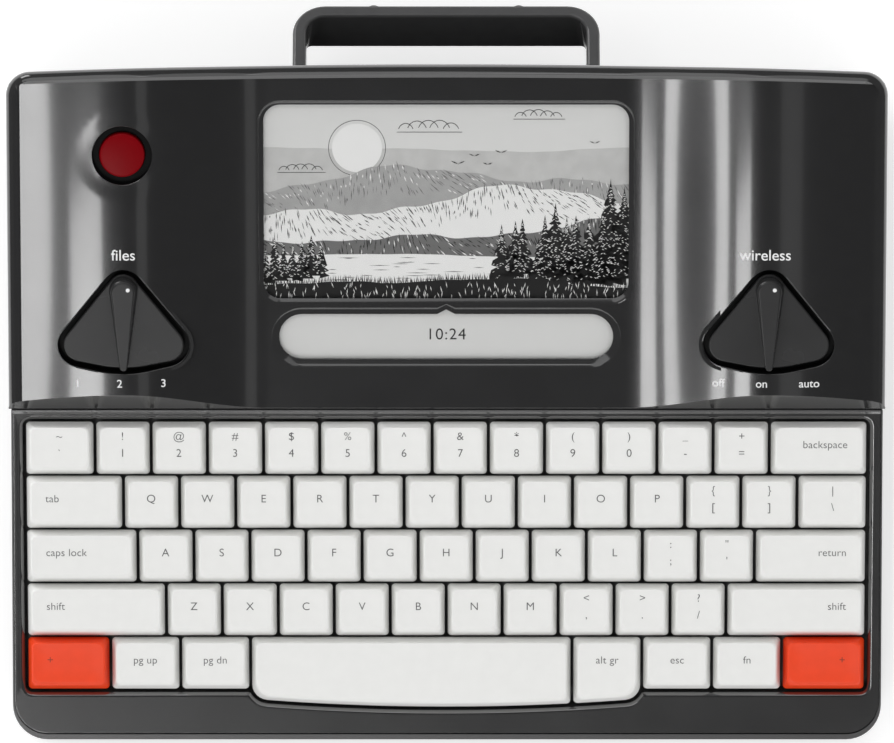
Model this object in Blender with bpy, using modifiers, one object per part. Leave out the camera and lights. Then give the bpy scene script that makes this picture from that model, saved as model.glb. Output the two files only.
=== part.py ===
"""Portable electronic word processor with a mechanical keyboard and an e-paper screen.

The body is a wedge. A tray carries a sloping deck with the keyboard in front and a raised head behind.
+X is the typist's right, +Y the rear, +Z up. The origin is on the table, below the middle of the outline.
Keyboard and head parts are modelled in the deck's own frame: x across, y up the slope, z square to the deck,
with its origin in the middle of the deck's front edge.
"""
import math

import bmesh
import bpy
from mathutils import Matrix, Vector

MM = 0.001

# Case
DECK_SIDE_WIDTH = 5.525 * MM
FRONT_HEIGHT = 17.5 * MM
DECK_ANGLE = math.radians(15.5)
FRONT_CORNER_RADIUS = 12.0 * MM
REAR_CORNER_RADIUS = 8.0 * MM
REAR_BOW = 2.3 * MM
BOW_PARTS = 4
FOOT_HEIGHT = 3.0 * MM
FIT_GAP = 0.3 * MM
OVERRUN = 1.0 * MM
SHELL_WALL = 2.6 * MM
SHELL_FLOOR = 2.5 * MM
BILGE_RADIUS = 6.0 * MM
RIM_WIDTH = 1.1 * MM
GROOVE_WIDTH = 0.4 * MM

# Deck round the keys
DECK_THICKNESS = 2.5 * MM
DECK_UNDERLAP = 8.0 * MM
WELL_SIDE_CLEARANCE = 1.0 * MM
WELL_END_CLEARANCE = 1.0 * MM
WELL_CORNER_RADIUS = 2.5 * MM
WELL_LIP = 1.3 * MM
WELL_LIP_DEPTH = 0.7 * MM
WELL_WALL = 1.6 * MM

# Keyboard
KEY_PITCH = 19.05 * MM
CAP_SPACING = 1.3 * MM
CAP_HEIGHT = 6.5 * MM
CAP_SINK = 1.7 * MM
CAP_CORNER_RADIUS = 1.3 * MM
CAP_TOP_RADIUS = 2.4 * MM
CAP_FRONT_INSET = 4.4 * MM
CAP_REAR_INSET = 0.15 * MM
CAP_SIDE_INSET = 1.9 * MM
CAP_TOP_TILT = math.radians(3.0)
CAP_WALL = 1.25 * MM
CAP_ROOF = 1.5 * MM
CAP_SHOULDER_INSET_SHARE = 0.72
CAP_SHOULDER_HEIGHT_SHARE = 0.86
SPACE_FRONT_EXTRA = 6.4 * MM
SPACE_FRONT_SAG = 1.9 * MM
SPACE_FRONT_STEP = 15.0 * MM
SPACE_CORNER_RADIUS = 5.5 * MM
FRONT_ROW_OFFSET = 26.86 * MM
KEY_TRAVEL = 4.0 * MM
STEM_SIDE = 4.0 * MM
STEM_ENTRY = 1.5 * MM
HOUSING_FOOT = 13.8 * MM
HOUSING_TOP = 10.0 * MM
HOUSING_HEIGHT = 5.0 * MM
HOUSING_DROP = 1.3 * MM
STABILISER_SIDE = 2.6 * MM
STABILISER_FOOT = 7.0 * MM
STABILISER_TOP = 5.6 * MM
STABILISER_SPREAD_SHARES = {2.0: 0.63, 2.5: 0.63, 5.75: 2.0}
PLATE_THICKNESS = 1.5 * MM
PLATE_MARGIN = 1.2 * MM
BOARD_THICKNESS = 1.6 * MM
BOARD_DROP = 3.2 * MM
BOARD_MARGIN = 3.0 * MM
STANDOFF_RADIUS = 2.0 * MM

# Head
HEAD_KEY_GAP = 5.265 * MM
HEAD_DEPTH = 119.82 * MM
HEAD_STEP = 1.3 * MM
HEAD_WALL = 2.4 * MM
HEAD_EDGE_RADIUS = 4.0 * MM
HEAD_FRONT_LEAN = math.radians(48.0)
HEAD_FRONT_FOOT = 0.5 * MM
HEAD_LEDGE = 12.0 * MM
HEAD_SIDE_DROP = 8.0 * MM
HEAD_SKIRT_DEPTH = 2.5 * MM
HEAD_SKIRT_WALL = 2.0 * MM
LOBE_INSET = 39.85 * MM
LOBE_INNER_REACH = 49.0 * MM
LOBE_OUTER_REACH = 74.0 * MM
LOBE_FRONT_HEIGHT = 5.2 * MM
LOBE_REAR_HEIGHT = 7.0 * MM
LOBE_SLICE = 8.0 * MM

# Screen windows, with places measured up the slope from the head's front
SCREEN_FRONT_MARGIN = 39.05 * MM
SCREEN_REAR_MARGIN = 13.92 * MM
SCREEN_WIDTH = 122.4 * MM
SCREEN_CORNER_RADIUS = 5.4 * MM
SCREEN_BEVEL = 1.8 * MM
STATUS_CENTRE_RUN = 25.4 * MM
STATUS_WIDTH = 112.2 * MM
STATUS_HEIGHT = 15.2 * MM
STATUS_BEVEL = 2.6 * MM
STATUS_END_SHARE = 0.985
STATUS_TIP_WIDTH = 6.0 * MM
STATUS_TIP_RISE = 1.6 * MM
WINDOW_THICKNESS = 1.1 * MM
PANEL_WIDTH = 130.0 * MM
PANEL_THICKNESS = 1.2 * MM
PANEL_FRONT_MARGIN = 13.5 * MM
PANEL_REAR_MARGIN = 10.32 * MM
CARRIER_FLOOR = 1.2 * MM
CARRIER_WALL = 1.5 * MM

# Controls on the head: the button from its rear edge, the selectors from its front
BUTTON_REAR_INSET = 29.72 * MM
BUTTON_RADIUS = 7.6 * MM
BUTTON_RING_RADIUS = 10.1 * MM
BUTTON_RING_DEPTH = 2.6 * MM
BUTTON_FLOOR = 2.2 * MM
BUTTON_BOSS_WALL = 2.4 * MM
BUTTON_CROWN = 0.7 * MM
BUTTON_CROWN_SHARES = ((0.45, 0.17), (0.90, 0.50))
BUTTON_FLANGE_RADIUS = 9.4 * MM
BUTTON_FLANGE = 1.0 * MM
BUTTON_TRAVEL = 1.2 * MM
BUTTON_SINK = 0.2 * MM
DIAL_APEX_RUN = 51.6 * MM
DIAL_CORNER_RUN = 20.1 * MM
DIAL_BASE_RUN = 14.95 * MM
DIAL_HALF_WIDTH = 24.9 * MM
DIAL_APEX_RADIUS = 5.0 * MM
DIAL_CORNER_RADIUS = 5.8 * MM
DIAL_GROOVE = 1.75 * MM
DIAL_RECESS_DEPTH = 4.0 * MM
DIAL_FLOOR = 1.8 * MM
DIAL_BOSS_WALL = 1.6 * MM
DIAL_PLATE_SINK = 1.0 * MM
LEVER_PIVOT_RUN = 42.9 * MM
LEVER_LENGTH = 25.9 * MM
LEVER_WIDE_RADIUS = 4.8 * MM
LEVER_TIP_RADIUS = 1.4 * MM
LEVER_HEIGHT = 3.8 * MM
LEVER_RIDGE_SHARE = 0.62
LEVER_PIN_RADIUS = 2.0 * MM
LEVER_PIN_DEPTH = 1.4 * MM

# Carry handle
HANDLE_WIDTH = 104.0 * MM
HANDLE_BAR = 4.5 * MM
HANDLE_STRAP = 20.0 * MM
HANDLE_REACH = 34.0 * MM
HANDLE_CORNER_RADIUS = 11.0 * MM
HANDLE_DROOP = math.radians(30.5)
HANDLE_EDGE = 0.8 * MM
HANDLE_TAIL_SHARE = 0.98
PIVOT_INSET = 12.8 * MM
PIVOT_DROP = 15.0 * MM
PIN_RADIUS = 2.5 * MM
PIN_HEAD_RADIUS = 4.2 * MM
PIN_HEAD = 1.5 * MM
PIN_ENTRY = 5.0 * MM
POCKET_SIDE_GAP = 0.8 * MM
POCKET_FRONT_GAP = 11.0 * MM
POCKET_TOP_DROP = 15.84 * MM
POCKET_FLOOR_LIFT = 6.2 * MM
POCKET_WALL = 2.4 * MM
POCKET_SIDE_WALL = 6.4 * MM
PAD_OFFSET = 24.6 * MM
PAD_RADIUS = 2.9 * MM
PAD_SEAT = 0.8 * MM
PAD_PROUD = 1.8 * MM
PAD_RISE = 5.7 * MM

# Under and inside
FOOT_END_INSET = 28.75 * MM
FOOT_WIDTH = 10.0 * MM
FOOT_INSET = 20.0 * MM
FOOT_EDGE = 1.0 * MM
BATTERY_SIZE = (92.0 * MM, 58.0 * MM, 9.0 * MM)
BATTERY_WALL_GAP = 20.15 * MM
BATTERY_REAR_GAP = 18.5 * MM
BATTERY_EDGE = 1.5 * MM
MAIN_BOARD_DEPTH = 72.0 * MM
MAIN_BOARD_POCKET_GAP = 4.0 * MM
MAIN_BOARD_WALL_GAP = 8.95 * MM
MAIN_BOARD_REAR_GAP = 1.0 * MM
MAIN_BOARD_LIFT = 3.0 * MM
POST_RADIUS = 2.6 * MM
POST_INSET = 6.0 * MM
SOCKET_SIZE = (9.0 * MM, 7.5 * MM, 3.3 * MM)
SOCKET_BOARD_INSET = 22.8 * MM
SOCKET_WALL = 0.4 * MM
SOCKET_DEPTH = 6.0 * MM
SOCKET_CORNER = 1.3 * MM
SOCKET_CORNER_INNER = 0.9 * MM

# Fineness of curved forms
CORNER_STEPS = 5
SMALL_CORNER_STEPS = 3
CAP_CORNER_STEPS = 2
TURN_STEPS = 24
PIN_STEPS = 12
MERGE_DISTANCE = 0.05 * MM
SMOOTH_ANGLE = math.radians(32.0)
FLAT_ANGLE = math.radians(0.5)
SHARP_ANGLE = math.radians(60.0)

# Key rows from the rear to the front: name and width in key pitches
KEY_ROWS = (
    (("backquote", 1.25),) + tuple((f"{n}", 1.0) for n in "1234567890")
    + (("minus", 1.0), ("equals", 1.0), ("backspace", 1.75)),
    (("tab", 1.75),) + tuple((n, 1.0) for n in "qwertyuiop")
    + (("bracket_left", 1.0), ("bracket_right", 1.0), ("backslash", 1.25)),
    (("caps_lock", 2.0),) + tuple((n, 1.0) for n in "asdfghjkl")
    + (("semicolon", 1.0), ("quote", 1.0), ("return", 2.0)),
    (("shift_left", 2.5),) + tuple((n, 1.0) for n in "zxcvbnm")
    + (("comma", 1.0), ("period", 1.0), ("slash", 1.0), ("shift_right", 2.5)),
    (("new_left", 1.5), ("page_up", 1.25), ("page_down", 1.25), ("space", 5.75), ("alt_gr", 1.25),
     ("send", 1.25), ("special", 1.25), ("new_right", 1.5)),
)
KEYS_WITH_NO_SOLID_OF_THEIR_OWN = frozenset("1234567890") | {
    "backquote", "minus", "equals", "bracket_left", "bracket_right", "backslash", "semicolon", "quote",
    "comma", "period", "slash", "page_up", "page_down", "send", "special"}
DEEP_KEYS = {"space": ("left",), "alt_gr": ("right",)}
RED_KEYS = ("new_left", "new_right")

# Worked out from the sizes above
SHELL_BOTTOM = FOOT_HEIGHT + FIT_GAP
FLOOR_TOP = SHELL_BOTTOM + SHELL_FLOOR
ROW_UNITS = sum(width for _, width in KEY_ROWS[0])
KEYS_HALF_WIDTH = ROW_UNITS * KEY_PITCH / 2 - CAP_SPACING / 2
CAP_DEPTH = KEY_PITCH - CAP_SPACING
REAR_ROW_UP = FRONT_ROW_OFFSET + (len(KEY_ROWS) - 1) * KEY_PITCH
KEYS_FRONT_UP = FRONT_ROW_OFFSET - CAP_DEPTH / 2
KEYS_REAR_UP = REAR_ROW_UP + CAP_DEPTH / 2
WELL_HALF_WIDTH = KEYS_HALF_WIDTH + WELL_SIDE_CLEARANCE
WELL_FRONT_UP = KEYS_FRONT_UP - WELL_END_CLEARANCE
WELL_REAR_UP = KEYS_REAR_UP + WELL_END_CLEARANCE
HALF_WIDTH = WELL_HALF_WIDTH + DECK_SIDE_WIDTH
HEAD_FRONT = KEYS_REAR_UP + HEAD_KEY_GAP
CASE_DEPTH = (HEAD_FRONT + HEAD_DEPTH) * math.cos(DECK_ANGLE)
HANDLE_OVERHANG = (HANDLE_REACH * math.cos(HANDLE_DROOP) + HANDLE_STRAP / 2 * math.sin(HANDLE_DROOP)
                   - PIVOT_INSET)
FRONT_Y = -(CASE_DEPTH + HANDLE_OVERHANG) / 2
REAR_Y = FRONT_Y + CASE_DEPTH
REAR_HEIGHT = FRONT_HEIGHT + CASE_DEPTH * math.tan(DECK_ANGLE)
HOUSING_RISE = -(CAP_SINK + HOUSING_DROP)
PLATE_TOP = HOUSING_RISE - HOUSING_HEIGHT
PLATE_BOTTOM = PLATE_TOP - PLATE_THICKNESS
BOARD_TOP = PLATE_BOTTOM - BOARD_DROP
PLATE_HALF_WIDTH = WELL_HALF_WIDTH + WELL_WALL
PLATE_FRONT_UP = WELL_FRONT_UP - SPACE_FRONT_EXTRA - WELL_WALL
PLATE_REAR_UP = WELL_REAR_UP + WELL_WALL
HEAD_ROOF_BOTTOM = HEAD_STEP - HEAD_WALL
LOBE_CENTRE = HALF_WIDTH - LOBE_INSET
SCREEN_HEIGHT = HEAD_DEPTH - SCREEN_FRONT_MARGIN - SCREEN_REAR_MARGIN
SCREEN_CENTRE_UP = HEAD_FRONT + SCREEN_FRONT_MARGIN + SCREEN_HEIGHT / 2
STATUS_CENTRE_UP = HEAD_FRONT + STATUS_CENTRE_RUN
PANEL_HEIGHT = HEAD_DEPTH - PANEL_FRONT_MARGIN - PANEL_REAR_MARGIN
PANEL_CENTRE_UP = HEAD_FRONT + PANEL_FRONT_MARGIN + PANEL_HEIGHT / 2
BUTTON_UP = HEAD_FRONT + HEAD_DEPTH - BUTTON_REAR_INSET
DIAL_APEX_UP = HEAD_FRONT + DIAL_APEX_RUN
DIAL_CORNER_UP = HEAD_FRONT + DIAL_CORNER_RUN
DIAL_BASE_UP = HEAD_FRONT + DIAL_BASE_RUN
LEVER_PIVOT_UP = HEAD_FRONT + LEVER_PIVOT_RUN
PANEL_TOP = HEAD_ROOF_BOTTOM - FIT_GAP
DIAL_RECESS_FLOOR = HEAD_STEP + LOBE_FRONT_HEIGHT - DIAL_RECESS_DEPTH
DIAL_PLATE_TOP = HEAD_STEP + LOBE_FRONT_HEIGHT - DIAL_PLATE_SINK
PIVOT_Y = REAR_Y - PIVOT_INSET
POCKET_TOP = REAR_HEIGHT - POCKET_TOP_DROP
POCKET_BOTTOM = FLOOR_TOP + POCKET_FLOOR_LIFT
PIVOT_HEIGHT = POCKET_TOP - PIVOT_DROP
POCKET_HALF_WIDTH = HANDLE_WIDTH / 2 + POCKET_SIDE_GAP
POCKET_FRONT_Y = PIVOT_Y - POCKET_FRONT_GAP
MAIN_BOARD_LEFT = POCKET_HALF_WIDTH + POCKET_SIDE_WALL + MAIN_BOARD_POCKET_GAP
MAIN_BOARD_RIGHT = HALF_WIDTH - SHELL_WALL - MAIN_BOARD_WALL_GAP
MAIN_BOARD_REAR = REAR_Y - REAR_BOW - SHELL_WALL - MAIN_BOARD_REAR_GAP
SOCKET_OFFSET = MAIN_BOARD_LEFT + SOCKET_BOARD_INSET
BATTERY_CENTRE = (BATTERY_WALL_GAP + SHELL_WALL + BATTERY_SIZE[0] / 2 - HALF_WIDTH,
                  POCKET_FRONT_Y - POCKET_WALL - BATTERY_REAR_GAP - BATTERY_SIZE[1] / 2)
MAIN_BOARD_BOTTOM = FLOOR_TOP + MAIN_BOARD_LIFT + FIT_GAP
SOCKET_BOTTOM = MAIN_BOARD_BOTTOM + BOARD_THICKNESS + FIT_GAP

COLOURS = {
    "body_metal": ((0.040, 0.041, 0.042), 0.42, 0.6),
    "deck_black": ((0.032, 0.033, 0.034), 0.38, 0.0),
    "head_gloss": ((0.020, 0.021, 0.022), 0.12, 0.0),
    "keycap_white": ((0.80, 0.80, 0.78), 0.48, 0.0),
    "keycap_red": ((0.78, 0.085, 0.022), 0.48, 0.0),
    "button_red": ((0.24, 0.001, 0.004), 0.22, 0.0),
    "control_black": ((0.012, 0.012, 0.013), 0.25, 0.0),
    "glass_clear": ((0.62, 0.63, 0.61), 0.08, 0.0),
    "paper_grey": ((0.60, 0.60, 0.57), 0.55, 0.0),
    "handle_black": ((0.018, 0.018, 0.019), 0.5, 0.0),
    "rubber_black": ((0.010, 0.010, 0.010), 0.8, 0.0),
    "steel": ((0.45, 0.45, 0.46), 0.3, 1.0),
    "board_green": ((0.02, 0.12, 0.05), 0.5, 0.0),
    "battery_silver": ((0.50, 0.50, 0.52), 0.4, 0.4),
}


def deck_height(y):
    """Height of the deck's plane over the table, at a distance y from the origin."""
    return FRONT_HEIGHT + (y - FRONT_Y) * math.tan(DECK_ANGLE)


def lobe_share(x):
    """How far the head's side lobe has risen at x: 1 over the controls and 0 at the screen."""
    offset = abs(x) - LOBE_CENTRE
    reach = LOBE_OUTER_REACH if offset > 0 else LOBE_INNER_REACH
    return math.cos(min(abs(offset) / reach, 1) * math.pi / 2) ** 2


def head_rise(x, y):
    """Height of the head's top over the deck's plane, square to the deck."""
    along = (y - FRONT_Y) / math.cos(DECK_ANGLE)
    span = CASE_DEPTH / math.cos(DECK_ANGLE) - HEAD_FRONT
    share = (along - HEAD_FRONT) / span
    lobe_height = LOBE_FRONT_HEIGHT + (LOBE_REAR_HEIGHT - LOBE_FRONT_HEIGHT) * share
    return HEAD_STEP + lobe_height * lobe_share(x)


def head_front_y():
    """Where the head's cover starts, on the deck's plane."""
    return FRONT_Y + HEAD_FRONT * math.cos(DECK_ANGLE)


def clear_scene():
    for obj in list(bpy.data.objects):
        bpy.data.objects.remove(obj, do_unlink=True)


def make_collection(name):
    collection = bpy.data.collections.new(name)
    bpy.context.scene.collection.children.link(collection)
    return collection


def make_material(name):
    colour, roughness, metallic = COLOURS[name]
    material = bpy.data.materials.new(name)
    material.use_nodes = True
    shader = material.node_tree.nodes["Principled BSDF"]
    shader.inputs["Base Color"].default_value = (*colour, 1)
    shader.inputs["Roughness"].default_value = roughness
    shader.inputs["Metallic"].default_value = metallic
    return material


class Workshop:
    """Holds the collections, the materials and the deck's frame that every part uses."""

    def __init__(self):
        self.parts = make_collection("electronic_word_processor")
        self.cutters = make_collection("cutters")
        self.materials = {name: make_material(name) for name in COLOURS}
        self.deck = self.empty("deck_frame", (0, FRONT_Y, FRONT_HEIGHT), DECK_ANGLE)

    def empty(self, name, location, tilt):
        empty = bpy.data.objects.new(name, None)
        empty.location = location
        empty.rotation_euler = (tilt, 0, 0)
        self.parts.objects.link(empty)
        bpy.context.view_layer.update()
        return empty

    def part(self, name, mesh, material, parent=None, location=(0, 0, 0)):
        obj = bpy.data.objects.new(name, mesh)
        if not mesh.materials:
            mesh.materials.append(self.materials[material])
        self.parts.objects.link(obj)
        obj.parent = parent
        obj.location = location
        return obj

    def tool(self, name, mesh, parent=None, location=(0, 0, 0)):
        obj = bpy.data.objects.new(name, mesh)
        self.cutters.objects.link(obj)
        obj.parent = parent
        obj.location = location
        obj.hide_render = True
        obj.display_type = "WIRE"
        return obj


def boolean(obj, tool, operation):
    modifier = obj.modifiers.new(tool.name, "BOOLEAN")
    modifier.operation = operation
    modifier.solver = "EXACT"
    modifier.object = tool
    return modifier


def cut(obj, tool):
    return boolean(obj, tool, "DIFFERENCE")


def join(obj, tool):
    return boolean(obj, tool, "UNION")


def mesh_from(name, bm):
    bmesh.ops.recalc_face_normals(bm, faces=bm.faces)
    mesh = bpy.data.meshes.new(name)
    bm.to_mesh(mesh)
    bm.free()
    return mesh


def settled_mesh(obj):
    """The object's mesh with its modifiers applied, in its own frame."""
    bpy.context.view_layer.update()
    graph = bpy.context.evaluated_depsgraph_get()
    mesh = bpy.data.meshes.new_from_object(obj.evaluated_get(graph), depsgraph=graph)
    mesh.name = obj.name
    return mesh


def smooth(mesh):
    mesh.shade_smooth()
    mesh.set_sharp_from_angle(angle=SMOOTH_ANGLE)


def box_mesh(name, low, high, edge=0, segments=2):
    """A box between two corners, with its edges rounded by edge."""
    bm = bmesh.new()
    bmesh.ops.create_cube(bm, size=1)
    centre = [(a + b) / 2 for a, b in zip(low, high)]
    size = [b - a for a, b in zip(low, high)]
    bmesh.ops.scale(bm, vec=size, verts=bm.verts)
    bmesh.ops.translate(bm, vec=centre, verts=bm.verts)
    if edge:
        bmesh.ops.bevel(bm, geom=bm.edges[:], offset=edge, segments=segments, profile=0.5, affect="EDGES")
    return mesh_from(name, bm)


def tapered_mesh(name, foot, top, low, high):
    """A four-sided post from a square foot to a smaller square top."""
    bm = bmesh.new()
    bmesh.ops.create_cone(bm, cap_ends=True, segments=4, radius1=foot / math.sqrt(2),
                          radius2=top / math.sqrt(2), depth=high - low)
    bmesh.ops.rotate(bm, cent=(0, 0, 0), matrix=Matrix.Rotation(math.pi / 4, 3, "Z"), verts=bm.verts)
    bmesh.ops.translate(bm, vec=(0, 0, (low + high) / 2), verts=bm.verts)
    return mesh_from(name, bm)


def cylinder_mesh(name, radius, low, high, steps=TURN_STEPS):
    bm = bmesh.new()
    bmesh.ops.create_cone(bm, cap_ends=True, segments=steps, radius1=radius, radius2=radius, depth=high - low)
    bmesh.ops.translate(bm, vec=(0, 0, (low + high) / 2), verts=bm.verts)
    return mesh_from(name, bm)


def turned_profile(name, profile):
    """A profile of (radius, height) points, ready for a Screw modifier round Z."""
    mesh = bpy.data.meshes.new(name)
    edges = [(i, i + 1) for i in range(len(profile) - 1)]
    mesh.from_pydata([(radius, 0, height) for radius, height in profile], edges, [])
    return mesh


def turn(obj, steps):
    screw = obj.modifiers.new("turn", "SCREW")
    screw.steps = steps
    screw.render_steps = steps
    screw.use_merge_vertices = True
    screw.merge_threshold = MERGE_DISTANCE
    screw.use_smooth_shade = True
    return screw


def rounded_outline(corners, steps=CORNER_STEPS):
    """Points round a polygon, anticlockwise, whose corners (x, y, radius) are rounded by arcs."""
    points = []
    count = len(corners)
    for i, (x, y, radius) in enumerate(corners):
        here = Vector((x, y))
        if not radius:
            points.append(here)
            continue
        before = (Vector(corners[i - 1][:2]) - here).normalized()
        after = (Vector(corners[(i + 1) % count][:2]) - here).normalized()
        half = before.angle(after) / 2
        centre = here + (before + after).normalized() * (radius / math.sin(half))
        start = here + before * (radius / math.tan(half)) - centre
        turn_angle = math.pi - 2 * half
        if before.cross(after) > 0:
            turn_angle = -turn_angle
        for step in range(steps + 1):
            points.append(centre + Matrix.Rotation(turn_angle * step / steps, 2) @ start)
    return points


def rectangle(half_width, front, rear, radius):
    return [(-half_width, front, radius), (half_width, front, radius),
            (half_width, rear, radius), (-half_width, rear, radius)]


def grown_corners(corners, grow):
    """Corners (x, y, radius) of a polygon whose sides and arcs have all moved outwards by the same distance."""
    moved = []
    for i, (x, y, radius) in enumerate(corners):
        here = Vector((x, y))
        sides = (here - Vector(corners[i - 1][:2]), Vector(corners[(i + 1) % len(corners)][:2]) - here)
        normals = [Vector((side.y, -side.x)).normalized() for side in sides]
        shift = (normals[0] + normals[1]) * (grow / (1 + normals[0].dot(normals[1])))
        moved.append((x + shift.x, y + shift.y, radius + grow if radius else 0))
    return moved


def loft_mesh(name, sections):
    """A solid through sections (points, height) that have equal numbers of points, from the lowest up.

    A height is a number, or a function of the point's x and y.
    """
    bm = bmesh.new()
    rings = []
    for points, height in sections:
        level = height if callable(height) else (lambda x, y, z=height: z)
        verts = [bm.verts.new((x, y, level(x, y))) for x, y in points]
        rings.append([bm.edges.new((verts[i - 1], verts[i])) for i in range(len(verts))])
    for lower, upper in zip(rings, rings[1:]):
        bmesh.ops.bridge_loops(bm, edges=lower + upper)
    bmesh.ops.holes_fill(bm, edges=rings[0] + rings[-1], sides=0)
    return mesh_from(name, bm)


def flat_mesh(name, points, low, high):
    """A flat outline with thickness: a filled 2D curve, extruded and made a mesh."""
    curve = bpy.data.curves.new(name, "CURVE")
    curve.dimensions = "2D"
    curve.fill_mode = "BOTH"
    curve.extrude = (high - low) / 2
    spline = curve.splines.new("POLY")
    spline.points.add(len(points) - 1)
    for point, (x, y) in zip(spline.points, points):
        point.co = (x, y, 0, 1)
    spline.use_cyclic_u = True
    obj = bpy.data.objects.new(name, curve)
    bpy.context.scene.collection.objects.link(obj)
    mesh = settled_mesh(obj)
    bpy.data.objects.remove(obj)
    bm = bmesh.new()
    bm.from_mesh(mesh)
    bmesh.ops.remove_doubles(bm, verts=bm.verts, dist=MERGE_DISTANCE)
    bmesh.ops.translate(bm, vec=(0, 0, (low + high) / 2), verts=bm.verts)
    bmesh.ops.dissolve_limit(bm, angle_limit=FLAT_ANGLE, verts=bm.verts, edges=bm.edges)
    return mesh_from(name, bm)


def slab(inset, front, rear, bottom, top, slices=(), front_radius=0, rear_radius=0,
         rim_radius=0, foot_radius=0):
    """A block with upright walls inside the case's outline, as a bmesh.

    bottom and top give its heights as functions of x and y. Each slice is a lengthwise cut, so that the
    top can follow a curve across the case. The rear wall has the case's gentle outward bow.
    """
    half_width = HALF_WIDTH - inset
    bm = bmesh.new()
    bmesh.ops.create_cube(bm, size=1)
    bmesh.ops.scale(bm, vec=(2 * half_width, rear - front, 1), verts=bm.verts)
    bmesh.ops.translate(bm, vec=(0, (front + rear) / 2, 0), verts=bm.verts)
    for radius, is_rear in ((front_radius, False), (rear_radius, True)):
        if radius > inset:
            upright = [edge for edge in bm.edges
                       if edge.verts[0].co.xy == edge.verts[1].co.xy
                       and (edge.verts[0].co.y > (front + rear) / 2) == is_rear]
            bmesh.ops.bevel(bm, geom=upright, offset=radius - inset, segments=CORNER_STEPS, profile=0.5,
                            affect="EDGES")
    for x in slices:
        bmesh.ops.bisect_plane(bm, geom=bm.verts[:] + bm.edges[:] + bm.faces[:], plane_co=(x, 0, 0),
                               plane_no=(1, 0, 0), dist=MERGE_DISTANCE)
    upright_share = math.sqrt(0.5)
    rim_edges, foot_edges = (
        [edge for edge in bm.edges
         if sum(sign * face.normal.z > upright_share for face in edge.link_faces) == 1]
        for sign in (1, -1))
    rim_edges = [edge for edge in rim_edges if max(vert.co.y for vert in edge.verts) > front + OVERRUN]
    for vert in bm.verts:
        x, y = vert.co.x, vert.co.y
        height = top if vert.co.z > 0 else bottom
        if y > (front + rear) / 2:
            y -= REAR_BOW * (x / HALF_WIDTH) ** 2
        vert.co = (x, y, height(x, y))
    for edges, radius in ((rim_edges, rim_radius), (foot_edges, foot_radius)):
        if radius:
            bmesh.ops.bevel(bm, geom=edges, offset=radius, segments=SMALL_CORNER_STEPS, profile=0.5,
                            affect="EDGES")
    return bm


def bow_slices():
    """Places of the lengthwise cuts that carry the rear wall's bow."""
    return [HALF_WIDTH * i / BOW_PARTS for i in range(1 - BOW_PARTS, BOW_PARTS)]


def lobe_slices():
    """Places of the lengthwise cuts that carry the two lobes' curve."""
    inner = LOBE_CENTRE - LOBE_INNER_REACH
    count = int((HALF_WIDTH - HEAD_EDGE_RADIUS - OVERRUN - inner) / LOBE_SLICE)
    right = [inner + LOBE_SLICE * i for i in range(count + 1)]
    middle = [x for x in bow_slices() if abs(x) < inner]
    return [-x for x in reversed(right)] + middle + right


def make_lower_shell(shop):
    bm = slab(0, FRONT_Y, REAR_Y, lambda x, y: SHELL_BOTTOM, lambda x, y: deck_height(y),
              slices=bow_slices(), front_radius=FRONT_CORNER_RADIUS, rear_radius=REAR_CORNER_RADIUS,
              foot_radius=BILGE_RADIUS)
    shell = shop.part("lower_shell", mesh_from("lower_shell", bm), "body_metal")
    bm = slab(SHELL_WALL, FRONT_Y + SHELL_WALL, REAR_Y - SHELL_WALL, lambda x, y: FLOOR_TOP,
              lambda x, y: deck_height(y) + OVERRUN, slices=bow_slices(),
              front_radius=FRONT_CORNER_RADIUS, rear_radius=REAR_CORNER_RADIUS,
              foot_radius=BILGE_RADIUS - SHELL_WALL)
    cut(shell, shop.tool("tray_hollow", mesh_from("tray_hollow", bm)))
    ledge_depth = (DECK_THICKNESS + FIT_GAP) / math.cos(DECK_ANGLE)
    bm = slab(RIM_WIDTH, FRONT_Y + RIM_WIDTH, REAR_Y - RIM_WIDTH, lambda x, y: deck_height(y) - ledge_depth,
              lambda x, y: deck_height(y) + OVERRUN, slices=bow_slices(),
              front_radius=FRONT_CORNER_RADIUS, rear_radius=REAR_CORNER_RADIUS)
    cut(shell, shop.tool("deck_ledge", mesh_from("deck_ledge", bm)))
    bm = slab(-OVERRUN, head_front_y() - FIT_GAP, REAR_Y + REAR_BOW + OVERRUN,
              lambda x, y: deck_height(y) - HEAD_SIDE_DROP / math.cos(DECK_ANGLE),
              lambda x, y: deck_height(y) + OVERRUN)
    cut(shell, shop.tool("head_room", mesh_from("head_room", bm)))
    add_handle_pocket(shop, shell)
    for x, y in post_places():
        post = shop.tool("board_post", cylinder_mesh("board_post", POST_RADIUS, FLOOR_TOP - OVERRUN,
                                                     MAIN_BOARD_BOTTOM - FIT_GAP, PIN_STEPS), None, (x, y, 0))
        join(shell, post)
    cut(shell, shop.tool("socket_hole", socket_hole_mesh()))
    return shell


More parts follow.
